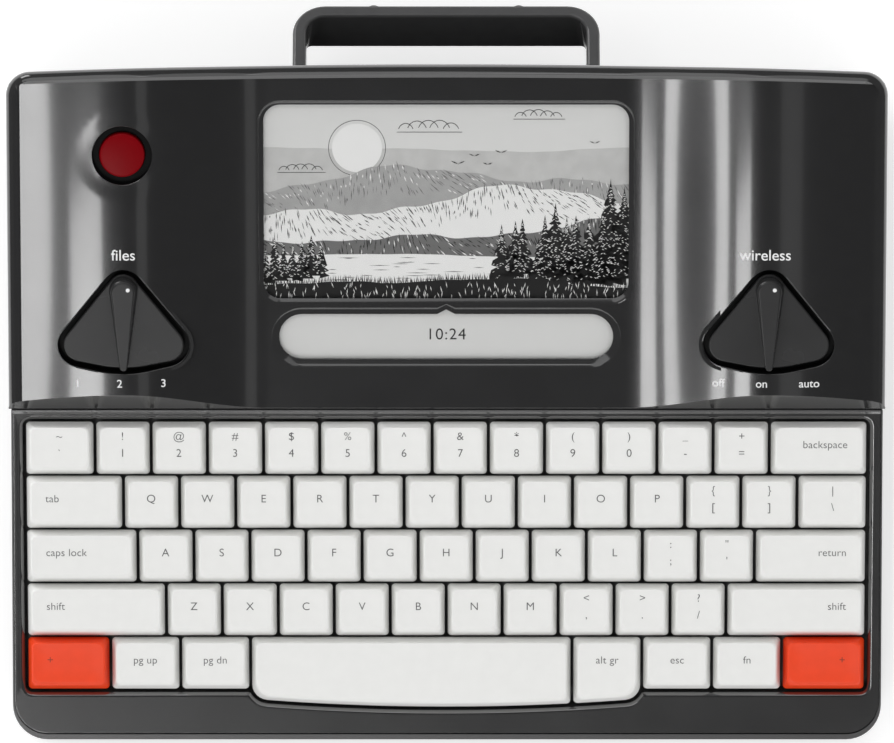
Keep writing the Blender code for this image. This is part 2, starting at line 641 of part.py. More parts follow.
def add_handle_pocket(shop, shell):
    """The rear recess that the carry handle folds into, with bores for its two pins."""
    outer_half = POCKET_HALF_WIDTH + POCKET_SIDE_WALL
    block = box_mesh("pocket_block", (-outer_half, POCKET_FRONT_Y - POCKET_WALL, FLOOR_TOP - OVERRUN),
                     (outer_half, REAR_Y - REAR_BOW - SHELL_WALL / 2, POCKET_TOP + POCKET_WALL))
    join(shell, shop.tool("pocket_block", block))
    hollow = box_mesh("pocket_hollow", (-POCKET_HALF_WIDTH, POCKET_FRONT_Y, POCKET_BOTTOM),
                      (POCKET_HALF_WIDTH, REAR_Y + OVERRUN, POCKET_TOP))
    cut(shell, shop.tool("pocket_hollow", hollow))
    bore_reach = POCKET_HALF_WIDTH + PIN_ENTRY + FIT_GAP
    bore = shop.tool("pin_bore", cylinder_mesh("pin_bore", PIN_RADIUS + FIT_GAP, -bore_reach, bore_reach,
                                               PIN_STEPS), None, (0, PIVOT_Y, PIVOT_HEIGHT))
    bore.rotation_euler = (0, math.pi / 2, 0)
    cut(shell, bore)


def post_places():
    return [(x, y) for x in (MAIN_BOARD_LEFT + POST_INSET, MAIN_BOARD_RIGHT - POST_INSET)
            for y in (MAIN_BOARD_REAR - MAIN_BOARD_DEPTH + POST_INSET, MAIN_BOARD_REAR - POST_INSET)]


def space_front(x):
    """How far the space bar's front edge reaches out from the row's front at x."""
    half_width = next(width for name, width in KEY_ROWS[-1] if name == "space") * KEY_PITCH / 2
    return SPACE_FRONT_EXTRA - SPACE_FRONT_SAG * (x / half_width) ** 2


def spread(low, high):
    """Evenly spaced places along the curved front edge, both ends included."""
    count = max(2, round((high - low) / SPACE_FRONT_STEP))
    return [low + (high - low) * i / count for i in range(count + 1)]


def key_places():
    """(name, centre x, centre y up the deck, width in pitches) of all keys."""
    for row, keys in enumerate(KEY_ROWS):
        left = -ROW_UNITS * KEY_PITCH / 2
        for name, units in keys:
            width = units * KEY_PITCH
            yield name, left + width / 2, REAR_ROW_UP - row * KEY_PITCH, units
            left += width


def deep_key_span():
    """Left and right ends of the keys with a curved front."""
    spans = [(x - units * KEY_PITCH / 2, x + units * KEY_PITCH / 2)
             for name, x, _, units in key_places() if name in DEEP_KEYS]
    return spans[0][0] + CAP_SPACING / 2, spans[-1][1] - CAP_SPACING / 2


def well_sections(grow):
    """Corners of the main key well and of its bay for the space bar, grown by a margin."""
    left, right = deep_key_span()
    well = rectangle(WELL_HALF_WIDTH + grow, WELL_FRONT_UP - grow, WELL_REAR_UP + grow,
                     WELL_CORNER_RADIUS + grow)
    left -= WELL_SIDE_CLEARANCE + grow
    right += WELL_SIDE_CLEARANCE + grow
    front = spread(left, right)
    radii = [0] * len(front)
    radii[0] = radii[-1] = SPACE_CORNER_RADIUS + WELL_SIDE_CLEARANCE + grow
    bay = [(x, WELL_FRONT_UP - grow - space_front(x), radius) for x, radius in zip(front, radii)]
    bay += [(right, WELL_FRONT_UP + CAP_DEPTH / 2, 0), (left, WELL_FRONT_UP + CAP_DEPTH / 2, 0)]
    return well, bay


def make_top_deck(shop):
    """The frame round the keys, with a tongue under the head and walls that reach down to the key plate."""
    inset = RIM_WIDTH + GROOVE_WIDTH
    thickness = DECK_THICKNESS / math.cos(DECK_ANGLE)
    bm = slab(inset, FRONT_Y + inset, head_front_y() - FIT_GAP, lambda x, y: deck_height(y) - thickness,
              lambda x, y: deck_height(y), front_radius=FRONT_CORNER_RADIUS)
    bmesh.ops.transform(bm, matrix=shop.deck.matrix_world.inverted(), verts=bm.verts)
    deck = shop.part("top_deck", mesh_from("top_deck", bm), "deck_black", shop.deck)
    tongue_half = HALF_WIDTH - SHELL_WALL - 2 * FIT_GAP
    tongue = box_mesh("deck_tongue", (-tongue_half, HEAD_FRONT - DECK_UNDERLAP, -DECK_THICKNESS),
                      (tongue_half, HEAD_FRONT + DECK_UNDERLAP, 0))
    join(deck, shop.tool("deck_tongue", tongue, shop.deck))
    for corners, label in zip(well_sections(WELL_WALL), ("well", "bay")):
        wall = flat_mesh(f"{label}_wall", rounded_outline(corners), PLATE_TOP + FIT_GAP,
                         -DECK_THICKNESS / 2)
        join(deck, shop.tool(f"{label}_wall", wall, shop.deck))
    narrow, wide = (well_sections(grow) for grow in (0, WELL_LIP + WELL_LIP))
    for inner, outer, label in zip(narrow, wide, ("well", "bay")):
        opening = loft_mesh(f"{label}_opening", [
            (rounded_outline(inner), PLATE_TOP - OVERRUN),
            (rounded_outline(inner), -WELL_LIP_DEPTH),
            (rounded_outline(outer), WELL_LIP_DEPTH)])
        cut(deck, shop.tool(f"{label}_opening", opening, shop.deck))
    return deck


def cap_outline(half_width, inset_share, wall, centre_x, round_corners, steps):
    """A keycap's outline at one level, pulled in by its share of the insets and by a wall.

    A key with round corners, left or right, has the deep and curved front edge.
    """
    side = half_width - CAP_SIDE_INSET * inset_share - wall
    front = -CAP_DEPTH / 2 + CAP_FRONT_INSET * inset_share + wall
    rear = CAP_DEPTH / 2 - CAP_REAR_INSET * inset_share - wall
    radius = 0 if wall else CAP_CORNER_RADIUS + (CAP_TOP_RADIUS - CAP_CORNER_RADIUS) * inset_share
    if not round_corners:
        return rounded_outline(rectangle(side, front, rear, radius), steps)
    xs = spread(-side, side)
    radii = [0] * len(xs)
    for index, label in ((0, "left"), (-1, "right")):
        radii[index] = SPACE_CORNER_RADIUS - wall if label in round_corners else radius
    corners = [(x, front - space_front(centre_x + x), corner) for x, corner in zip(xs, radii)]
    return rounded_outline(corners + [(side, rear, radius), (-side, rear, radius)], steps)


def cap_height(share):
    """A level of the cap, whose top leans back towards the level of the table."""
    return lambda x, y: share * (CAP_HEIGHT - y * math.tan(CAP_TOP_TILT))


def stabiliser_places(units):
    """Where a wide key has its stabiliser posts, from its own middle."""
    reach = STABILISER_SPREAD_SHARES.get(units, 0) * KEY_PITCH
    return (-reach, reach) if reach else ()


def post_mesh(name, side, low, high):
    """A square post about the Z axis."""
    return box_mesh(name, (-side / 2, -side / 2, low), (side / 2, side / 2, high))


def make_cap_mesh(shop, label, units, centre_x, round_corners):
    """One keycap: a hollow shell with the post that enters its switch. Its origin is on its own axis.

    A wide key has a stabiliser post on each side too.
    """
    half_width = units * KEY_PITCH / 2 - CAP_SPACING / 2
    levels = ((0, 0), (CAP_SHOULDER_INSET_SHARE, CAP_SHOULDER_HEIGHT_SHARE), (1, 1))
    outer = loft_mesh(f"cap_{label}", [
        (cap_outline(half_width, inset, 0, centre_x, round_corners, CAP_CORNER_STEPS), cap_height(height))
        for inset, height in levels])
    cap = shop.tool(f"cap_{label}", outer)
    roof = CAP_HEIGHT - CAP_ROOF
    roof_inset = CAP_SHOULDER_INSET_SHARE * roof / (CAP_SHOULDER_HEIGHT_SHARE * CAP_HEIGHT)
    hollow = loft_mesh(f"cap_hollow_{label}", [
        (cap_outline(half_width, 0, CAP_WALL, centre_x, round_corners, 1), -OVERRUN),
        (cap_outline(half_width, 0, CAP_WALL, centre_x, round_corners, 1), 0),
        (cap_outline(half_width, roof_inset, CAP_WALL, centre_x, round_corners, 1), roof)])
    cut(cap, shop.tool(f"cap_hollow_{label}", hollow))
    stem = post_mesh(f"stem_{label}", STEM_SIDE, -(HOUSING_DROP + STEM_ENTRY), roof + OVERRUN / 2)
    join(cap, shop.tool(f"stem_{label}", stem))
    if units in STABILISER_SPREAD_SHARES:
        post = post_mesh(f"stabiliser_{label}", STABILISER_SIDE, -(HOUSING_DROP + STEM_ENTRY),
                         roof + OVERRUN / 2)
        posts = scattered_mesh(f"stabilisers_{label}", [(post, (x, 0, 0)) for x in stabiliser_places(units)])
        join(cap, shop.tool(f"stabilisers_{label}", posts))
    mesh = settled_mesh(cap)
    smooth(mesh)
    return mesh


def make_keyboard(shop):
    """The moving keycaps, and the plate with its switch housings and the remaining caps."""
    plate = box_mesh("key_plate", (-PLATE_HALF_WIDTH, PLATE_FRONT_UP, PLATE_BOTTOM),
                     (PLATE_HALF_WIDTH, PLATE_REAR_UP, PLATE_TOP))
    plate = shop.part("key_plate", plate, "steel", shop.deck)
    plate.data.materials.append(shop.materials["keycap_white"])
    housing = tapered_mesh("switch_housing", HOUSING_FOOT, HOUSING_TOP, PLATE_TOP - PLATE_THICKNESS / 2,
                           HOUSING_RISE)
    hole = post_mesh("stem_hole", STEM_SIDE + 2 * FIT_GAP, PLATE_BOTTOM - OVERRUN, HOUSING_RISE + OVERRUN)
    guide = tapered_mesh("stabiliser_guide", STABILISER_FOOT, STABILISER_TOP, PLATE_TOP - PLATE_THICKNESS / 2,
                         HOUSING_RISE)
    guide_hole = post_mesh("guide_hole", STABILISER_SIDE + 2 * FIT_GAP, PLATE_BOTTOM - OVERRUN,
                           HOUSING_RISE + OVERRUN)
    caps = {}
    fixed, housings, holes = [], [], []
    for name, x, y, units in key_places():
        red = name in RED_KEYS
        label = name if red or name in DEEP_KEYS else f"{units:g}"
        if label not in caps:
            caps[label] = make_cap_mesh(shop, label, units, x, DEEP_KEYS.get(name, ()))
            caps[label].materials.append(shop.materials["keycap_red" if red else "keycap_white"])
        housings.append((housing, (x, y, 0)))
        if name in KEYS_WITH_NO_SOLID_OF_THEIR_OWN:
            fixed.append((caps[label], (x, y, -CAP_SINK)))
        else:
            holes.append((hole, (x, y, 0)))
            shop.part(f"key_{name}", caps[label], None, shop.deck, (x, y, -CAP_SINK))
        for post_x in stabiliser_places(units):
            housings.append((guide, (x + post_x, y, 0)))
            holes.append((guide_hole, (x + post_x, y, 0)))
    standoff = cylinder_mesh("standoff", STANDOFF_RADIUS, BOARD_TOP + FIT_GAP, PLATE_TOP - PLATE_THICKNESS / 2,
                             PIN_STEPS)
    standoffs = [(standoff, (x, y, 0)) for x, y in standoff_places()]
    for label, copies, operation in (("housings", housings, "UNION"), ("standoffs", standoffs, "UNION"),
                                     ("stem_holes", holes, "DIFFERENCE"), ("plain_caps", fixed, "UNION")):
        boolean(plate, shop.tool(label, scattered_mesh(label, copies), shop.deck), operation)
    return plate


def standoff_places():
    """Between the rows, clear of the switches."""
    across = PLATE_HALF_WIDTH - BOARD_MARGIN - 2 * STANDOFF_RADIUS
    rows = (FRONT_ROW_OFFSET + KEY_PITCH / 2, REAR_ROW_UP - KEY_PITCH / 2)
    return [(side * across, up) for side in (-1, 0, 1) for up in rows]


def scattered_mesh(name, copies):
    """Copies (mesh, place) of separate shapes in one mesh, for one Boolean."""
    bm = bmesh.new()
    for mesh, place in copies:
        start = len(bm.verts)
        bm.from_mesh(mesh)
        bm.verts.ensure_lookup_table()
        bmesh.ops.translate(bm, vec=place, verts=bm.verts[start:])
    mesh = bpy.data.meshes.new(name)
    bm.to_mesh(mesh)
    bm.free()
    return mesh


def make_key_circuit_board(shop):
    board = box_mesh("key_circuit_board",
                     (-PLATE_HALF_WIDTH + BOARD_MARGIN, PLATE_FRONT_UP + BOARD_MARGIN,
                      BOARD_TOP - BOARD_THICKNESS),
                     (PLATE_HALF_WIDTH - BOARD_MARGIN, PLATE_REAR_UP - BOARD_MARGIN, BOARD_TOP))
    return shop.part("key_circuit_board", board, "board_green", shop.deck)


def head_block(inset, front, rear, bottom, drop, rim_radius=0):
    """A block under the head's curved top, which is lowered by drop."""
    return slab(inset, front, rear, lambda x, y: deck_height(y) + bottom / math.cos(DECK_ANGLE),
                lambda x, y: deck_height(y) + (head_rise(x, y) - drop) / math.cos(DECK_ANGLE),
                slices=lobe_slices(), rear_radius=REAR_CORNER_RADIUS, rim_radius=rim_radius)


def make_head_cover(shop):
    """The glossy head: a hollow cover with two lobes, a leaning front and openings for what it carries."""
    front = head_front_y()
    bm = head_block(0, front, REAR_Y, FIT_GAP - HEAD_SIDE_DROP, 0, HEAD_EDGE_RADIUS)
    lean = HEAD_FRONT_LEAN - DECK_ANGLE
    foot = Vector((0, front, deck_height(front) + (FIT_GAP + HEAD_FRONT_FOOT) / math.cos(DECK_ANGLE)))
    wall = bmesh.ops.bisect_plane(bm, geom=bm.verts[:] + bm.edges[:] + bm.faces[:], plane_co=foot,
                                  plane_no=(0, -math.cos(lean), math.sin(lean)), clear_outer=True,
                                  dist=MERGE_DISTANCE)
    bmesh.ops.holes_fill(bm, edges=[e for e in wall["geom_cut"] if isinstance(e, bmesh.types.BMEdge)], sides=0)
    bmesh.ops.transform(bm, matrix=shop.deck.matrix_world.inverted(), verts=bm.verts)
    head = shop.part("head_cover", mesh_from("head_cover", bm), "head_gloss", shop.deck)
    skirt_inset = SHELL_WALL + FIT_GAP
    skirt_bottom = -HEAD_SIDE_DROP - HEAD_SKIRT_DEPTH
    ledge = HEAD_LEDGE * math.cos(DECK_ANGLE)
    bm = head_block(skirt_inset, front + ledge - HEAD_SKIRT_WALL, REAR_Y - skirt_inset, skirt_bottom,
                    HEAD_WALL / 2)
    join(head, shop.tool("head_skirt", mesh_from("head_skirt", bm)))
    hollow_inset = skirt_inset + HEAD_SKIRT_WALL
    bm = head_block(hollow_inset, front + ledge, REAR_Y - hollow_inset, skirt_bottom - OVERRUN, HEAD_WALL)
    cut(head, shop.tool("head_hollow", mesh_from("head_hollow", bm)))
    notch_half = HALF_WIDTH - SHELL_WALL
    notch = box_mesh("deck_notch", (-notch_half, HEAD_FRONT - OVERRUN - HEAD_SIDE_DROP, skirt_bottom - OVERRUN),
                     (notch_half, HEAD_FRONT + HEAD_LEDGE - 2 * HEAD_SKIRT_WALL, FIT_GAP))
    cut(head, shop.tool("deck_notch", notch, shop.deck))
    for side in (-1, 1):
        add_dial_recess(shop, head, side)
    add_button_seat(shop, head)
    cut_window(shop, head, "screen", screen_corners, SCREEN_BEVEL)
    cut_window(shop, head, "status", status_corners, STATUS_BEVEL)
    return head


def screen_corners(grow):
    return rectangle(SCREEN_WIDTH / 2 + grow, SCREEN_CENTRE_UP - SCREEN_HEIGHT / 2 - grow,
                     SCREEN_CENTRE_UP + SCREEN_HEIGHT / 2 + grow, SCREEN_CORNER_RADIUS + grow)


def status_corners(grow):
    """A pill with a small peak in the middle of its rear edge."""
    half_height = STATUS_HEIGHT / 2 + grow
    rear = STATUS_CENTRE_UP + half_height
    corners = rectangle(STATUS_WIDTH / 2 + grow, STATUS_CENTRE_UP - half_height, rear,
                        half_height * STATUS_END_SHARE)
    peak = [(STATUS_TIP_WIDTH / 2, rear, 0), (0, rear + STATUS_TIP_RISE, 0), (-STATUS_TIP_WIDTH / 2, rear, 0)]
    return corners[:3] + peak + corners[3:]


def cut_window(shop, head, label, corners, bevel):
    """An opening with a sloping rim, over the e-paper panel."""
    straight = rounded_outline(corners(FIT_GAP))
    rim_foot = PANEL_TOP + FIT_GAP + WINDOW_THICKNESS
    slope = bevel / (HEAD_STEP - rim_foot)
    opening = loft_mesh(f"{label}_opening", [
        (straight, PANEL_TOP - OVERRUN), (straight, rim_foot),
        (rounded_outline(corners(FIT_GAP + bevel + slope * OVERRUN)), HEAD_STEP + OVERRUN)])
    cut(head, shop.tool(f"{label}_opening", opening, shop.deck))


def make_windows(shop):
    low = PANEL_TOP + FIT_GAP
    for name, corners in (("main_window", screen_corners), ("status_window", status_corners)):
        mesh = flat_mesh(name, rounded_outline(corners(0)), low, low + WINDOW_THICKNESS)
        shop.part(name, mesh, "glass_clear", shop.deck)


def make_display(shop):
    """The e-paper panel, and the pan that holds it against the head's underside."""
    half = PANEL_WIDTH / 2
    front = PANEL_CENTRE_UP - PANEL_HEIGHT / 2
    rear = PANEL_CENTRE_UP + PANEL_HEIGHT / 2
    bottom = PANEL_TOP - PANEL_THICKNESS
    shop.part("eink_panel", box_mesh("eink_panel", (-half, front, bottom), (half, rear, PANEL_TOP)),
              "paper_grey", shop.deck)
    margin = FIT_GAP + CARRIER_WALL
    floor = bottom - FIT_GAP
    pan = box_mesh("display_carrier", (-half - margin, front - margin, floor - CARRIER_FLOOR),
                   (half + margin, rear + margin, PANEL_TOP))
    pan = shop.part("display_carrier", pan, "steel", shop.deck)
    hollow = box_mesh("carrier_hollow", (-half - FIT_GAP, front - FIT_GAP, floor),
                      (half + FIT_GAP, rear + FIT_GAP, PANEL_TOP + OVERRUN))
    cut(pan, shop.tool("carrier_hollow", hollow, shop.deck))


def dial_corners(grow):
    """A triangle with its apex to the rear and a slightly convex base, about the lever's axis."""
    return grown_corners([(0, DIAL_BASE_UP, 0), (DIAL_HALF_WIDTH, DIAL_CORNER_UP, DIAL_CORNER_RADIUS),
                          (0, DIAL_APEX_UP, DIAL_APEX_RADIUS),
                          (-DIAL_HALF_WIDTH, DIAL_CORNER_UP, DIAL_CORNER_RADIUS)], grow)


def add_dial_recess(shop, head, side):
    label = "right" if side > 0 else "left"
    place = (side * LOBE_CENTRE, 0, 0)
    top = HEAD_STEP + LOBE_FRONT_HEIGHT - HEAD_WALL / 2
    boss = flat_mesh(f"dial_boss_{label}", rounded_outline(dial_corners(DIAL_GROOVE + DIAL_BOSS_WALL)),
                     DIAL_RECESS_FLOOR - DIAL_FLOOR, top)
    join(head, shop.tool(f"dial_boss_{label}", boss, shop.deck, place))
    recess = flat_mesh(f"dial_recess_{label}", rounded_outline(dial_corners(DIAL_GROOVE)), DIAL_RECESS_FLOOR,
                       HEAD_STEP + LOBE_REAR_HEIGHT + OVERRUN)
    cut(head, shop.tool(f"dial_recess_{label}", recess, shop.deck, place))


def button_surface():
    """Height of the head's top at the middle of the button."""
    return head_rise(LOBE_CENTRE, FRONT_Y + BUTTON_UP * math.cos(DECK_ANGLE))


def add_button_seat(shop, head):
    place = (-LOBE_CENTRE, BUTTON_UP, 0)
    surface = button_surface()
    floor = surface - BUTTON_RING_DEPTH
    for label, radius, low, high, operation in (
            ("button_boss", BUTTON_RING_RADIUS + BUTTON_BOSS_WALL, floor - BUTTON_FLOOR,
             surface - HEAD_WALL / 2, "UNION"),
            ("button_ring", BUTTON_RING_RADIUS, floor, surface + OVERRUN, "DIFFERENCE"),
            ("button_bore", BUTTON_RADIUS + FIT_GAP, floor - BUTTON_FLOOR - OVERRUN, floor + OVERRUN,
             "DIFFERENCE")):
        boolean(head, shop.tool(label, cylinder_mesh(label, radius, low, high), shop.deck, place), operation)


def make_power_button(shop):
    """A turned cap with a slight crown and a flange that keeps it in its bore."""
    top = button_surface() - BUTTON_SINK
    flange_top = button_surface() - BUTTON_RING_DEPTH - BUTTON_FLOOR - FIT_GAP
    bottom = flange_top - BUTTON_FLANGE
    crown = [(BUTTON_RADIUS * out, top - BUTTON_CROWN * down) for out, down in BUTTON_CROWN_SHARES]
    profile = [(0, top)] + crown + [(BUTTON_RADIUS, top - BUTTON_CROWN), (BUTTON_RADIUS, flange_top),
                                    (BUTTON_FLANGE_RADIUS, flange_top), (BUTTON_FLANGE_RADIUS, bottom),
                                    (0, bottom)]
    button = shop.part("power_button", turned_profile("power_button", profile), "button_red", shop.deck,
                       (-LOBE_CENTRE, BUTTON_UP, 0))
    turn(button, TURN_STEPS)


def make_selector(shop, name, side):
    """A triangular plate in its recess, and the pointer lever that turns on it."""
    place = (side * LOBE_CENTRE, 0, 0)
    plate_mesh = flat_mesh(f"{name}_dial", rounded_outline(dial_corners(0)), DIAL_RECESS_FLOOR + FIT_GAP,
                           DIAL_PLATE_TOP)
    plate = shop.part(f"{name}_dial", plate_mesh, "control_black", shop.deck, place)
    hole = cylinder_mesh(f"{name}_pivot_hole", LEVER_PIN_RADIUS + FIT_GAP, DIAL_RECESS_FLOOR,
                         DIAL_PLATE_TOP + OVERRUN, PIN_STEPS)
    cut(plate, shop.tool(f"{name}_pivot_hole", hole, shop.deck, (side * LOBE_CENTRE, LEVER_PIVOT_UP, 0)))
    foot = lever_outline(LEVER_WIDE_RADIUS, LEVER_TIP_RADIUS)
    ridge = lever_outline(LEVER_WIDE_RADIUS * LEVER_RIDGE_SHARE, LEVER_TIP_RADIUS * LEVER_RIDGE_SHARE)
    low = DIAL_PLATE_TOP + FIT_GAP
    body = loft_mesh(f"{name}_lever", [(foot, low), (foot, low + LEVER_HEIGHT / 2), (ridge, low + LEVER_HEIGHT)])
    lever = shop.part(f"{name}_lever", body, "control_black", shop.deck,
                      (side * LOBE_CENTRE, LEVER_PIVOT_UP, 0))
    pin = cylinder_mesh(f"{name}_lever_pin", LEVER_PIN_RADIUS, low - LEVER_PIN_DEPTH, low + LEVER_HEIGHT / 2,
                        PIN_STEPS)
    join(lever, shop.tool(f"{name}_lever_pin", pin, shop.deck, (side * LOBE_CENTRE, LEVER_PIVOT_UP, 0)))


def lever_outline(wide_radius, tip_radius):
    """A teardrop with its wide end on the pivot and its tip towards the typist."""
    lean = math.asin((wide_radius - tip_radius) / LEVER_LENGTH)
    points = []
    for centre, radius, start, sweep in ((0, wide_radius, -lean, math.pi + 2 * lean),
                                         (-LEVER_LENGTH, tip_radius, math.pi + lean, math.pi - 2 * lean)):
        for step in range(2 * CORNER_STEPS + 1):
            angle = start + sweep * step / (2 * CORNER_STEPS)
            points.append((radius * math.cos(angle), centre + radius * math.sin(angle)))
    return points


def make_handle(shop):
    """The carry handle: a U of flat strap on two pins, shown folded out."""
    pivot = shop.empty("handle_pivot", (0, PIVOT_Y, PIVOT_HEIGHT), -HANDLE_DROOP)
    half = HANDLE_WIDTH / 2
    inner = half - HANDLE_BAR
    tail = -HANDLE_STRAP / 2 * HANDLE_TAIL_SHARE
    inner_radius = HANDLE_CORNER_RADIUS - HANDLE_BAR
    corners = [(-half, tail, 0), (-inner, tail, 0), (-inner, HANDLE_REACH - HANDLE_BAR, inner_radius),
               (inner, HANDLE_REACH - HANDLE_BAR, inner_radius), (inner, tail, 0), (half, tail, 0),
               (half, HANDLE_REACH, HANDLE_CORNER_RADIUS), (-half, HANDLE_REACH, HANDLE_CORNER_RADIUS)]
    mesh = flat_mesh("carry_handle", rounded_outline(corners), -HANDLE_STRAP / 2, HANDLE_STRAP / 2)
    bm = bmesh.new()
    bm.from_mesh(mesh)
    ends = [edge for edge in bm.edges if all(vert.co.y < tail + MERGE_DISTANCE for vert in edge.verts)
            and abs(edge.verts[0].co.x - edge.verts[1].co.x) > HANDLE_BAR / 2]
    bmesh.ops.bevel(bm, geom=ends, offset=-tail, segments=CORNER_STEPS, profile=0.5, affect="EDGES")
    handle = shop.part("carry_handle", mesh_from("carry_handle", bm), "handle_black", pivot)
    bore = shop.tool("handle_bore", cylinder_mesh("handle_bore", PIN_RADIUS + FIT_GAP, -half - OVERRUN,
                                                  half + OVERRUN, PIN_STEPS), pivot)
    bore.rotation_euler = (0, math.pi / 2, 0)
    cut(handle, bore)
    for side, label in ((-1, "left"), (1, "right")):
        seat = shop.tool(f"pad_seat_{label}", cylinder_mesh(f"pad_seat_{label}", PAD_RADIUS + FIT_GAP, -PAD_SEAT,
                                                            OVERRUN, PIN_STEPS), pivot,
                         (side * PAD_OFFSET, HANDLE_REACH, PAD_RISE))
        seat.rotation_euler = (-math.pi / 2, 0, 0)
        cut(handle, seat)
        pad = shop.part(f"handle_pad_{label}",
                        turned_profile(f"handle_pad_{label}",
                                       [(0, PAD_PROUD), (PAD_RADIUS / 2, PAD_PROUD), (PAD_RADIUS, PAD_PROUD / 2),
                                        (PAD_RADIUS, FIT_GAP - PAD_SEAT), (0, FIT_GAP - PAD_SEAT)]),
                        "rubber_black", pivot, (side * PAD_OFFSET, HANDLE_REACH, PAD_RISE))
        pad.rotation_euler = (-math.pi / 2, 0, 0)
        turn(pad, PIN_STEPS)
        make_handle_pin(shop, side, label, inner)
    bevel = handle.modifiers.new("soft_edges", "BEVEL")
    bevel.width = HANDLE_EDGE
    bevel.segments = 1
    bevel.limit_method = "ANGLE"
    bevel.angle_limit = SHARP_ANGLE
    return handle


def make_handle_pin(shop, side, label, inner):
    """A headed pin from inside the handle's arm into the pocket's side wall."""
    head_out = inner - FIT_GAP
    tip = POCKET_HALF_WIDTH + PIN_ENTRY
    profile = [(0, tip), (PIN_RADIUS, tip), (PIN_RADIUS, head_out), (PIN_HEAD_RADIUS, head_out),
               (PIN_HEAD_RADIUS, head_out - PIN_HEAD), (0, head_out - PIN_HEAD)]
    pin = shop.part(f"handle_pin_{label}", turned_profile(f"handle_pin_{label}", profile), "steel", None,
                    (0, PIVOT_Y, PIVOT_HEIGHT))
    pin.rotation_euler = (0, side * math.pi / 2, 0)
    turn(pin, PIN_STEPS)


def socket_outline(size_x, size_z, corner, low_z):
    return rounded_outline([(-size_x / 2, low_z, corner), (size_x / 2, low_z, corner),
                            (size_x / 2, low_z + size_z, corner), (-size_x / 2, low_z + size_z, corner)],
                           SMALL_CORNER_STEPS)


def socket_hole_mesh():
    """The opening in the rear wall round the charging socket."""
    mesh = flat_mesh("socket_hole", socket_outline(SOCKET_SIZE[0] + 2 * FIT_GAP, SOCKET_SIZE[2] + 2 * FIT_GAP,
                                                   SOCKET_CORNER + FIT_GAP, SOCKET_BOTTOM - FIT_GAP),
                     -REAR_Y - OVERRUN, -REAR_Y + REAR_BOW + 2 * SHELL_WALL)
    return turned_upright(mesh, SOCKET_OFFSET)


def turned_upright(mesh, x):
    """Stands a flat mesh up, so that its outline is seen from the rear, and moves it to x."""
    mesh.transform(Matrix.Translation((x, 0, 0)) @ Matrix.Rotation(math.pi / 2, 4, "X"))
    return mesh


def rear_wall_y(x):
    return REAR_Y - REAR_BOW * (x / HALF_WIDTH) ** 2


def make_inside(shop):
    """The main board with its charging socket, and the battery, on the tray's floor."""
    board = box_mesh("main_circuit_board",
                     (MAIN_BOARD_LEFT, MAIN_BOARD_REAR - MAIN_BOARD_DEPTH, MAIN_BOARD_BOTTOM),
                     (MAIN_BOARD_RIGHT, MAIN_BOARD_REAR, MAIN_BOARD_BOTTOM + BOARD_THICKNESS))
    shop.part("main_circuit_board", board, "board_green")
    mouth = rear_wall_y(SOCKET_OFFSET) - FIT_GAP
    shell = flat_mesh("usb_socket", socket_outline(SOCKET_SIZE[0], SOCKET_SIZE[2], SOCKET_CORNER, SOCKET_BOTTOM),
                      -mouth, -mouth + SOCKET_SIZE[1])
    socket = shop.part("usb_socket", turned_upright(shell, SOCKET_OFFSET), "steel")
    inner = flat_mesh("socket_mouth",
                      socket_outline(SOCKET_SIZE[0] - 2 * SOCKET_WALL, SOCKET_SIZE[2] - 2 * SOCKET_WALL,
                                     SOCKET_CORNER_INNER, SOCKET_BOTTOM + SOCKET_WALL),
                      -mouth - OVERRUN, -mouth + SOCKET_DEPTH)
    cut(socket, shop.tool("socket_mouth", turned_upright(inner, SOCKET_OFFSET)))
    half = [size / 2 for size in BATTERY_SIZE]
    x, y = BATTERY_CENTRE
    low = FLOOR_TOP + FIT_GAP
    battery = box_mesh("battery_pack", (x - half[0], y - half[1], low),
                       (x + half[0], y + half[1], low + BATTERY_SIZE[2]), BATTERY_EDGE, 1)
    shop.part("battery_pack", battery, "battery_silver")


def make_feet(shop):
    for name, y in (("foot_front", FRONT_Y + FOOT_INSET), ("foot_rear", REAR_Y - FOOT_INSET)):
        half_length = HALF_WIDTH - FOOT_END_INSET
        foot = box_mesh(name, (-half_length, y - FOOT_WIDTH / 2, 0),
                        (half_length, y + FOOT_WIDTH / 2, FOOT_HEIGHT), FOOT_EDGE, 1)
        shop.part(name, foot, "rubber_black")


def main():
    clear_scene()
    shop = Workshop()
    make_lower_shell(shop)
    make_top_deck(shop)
    make_head_cover(shop)
    make_windows(shop)
    make_display(shop)
    make_power_button(shop)
    make_selector(shop, "folder", -1)
    make_selector(shop, "wireless", 1)
    make_keyboard(shop)
    make_key_circuit_board(shop)
    make_handle(shop)
    make_inside(shop)
    make_feet(shop)


main()
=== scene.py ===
"""Looks of the electronic word processor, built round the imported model.

Keyboard and head parts are modelled in the deck's own frame: x across, y up the slope, z square to the deck,
with its origin in the middle of the deck's front edge. The rest is modelled in the row frame.
"""
import math

import bmesh
import bpy
from mathutils import Matrix, Vector


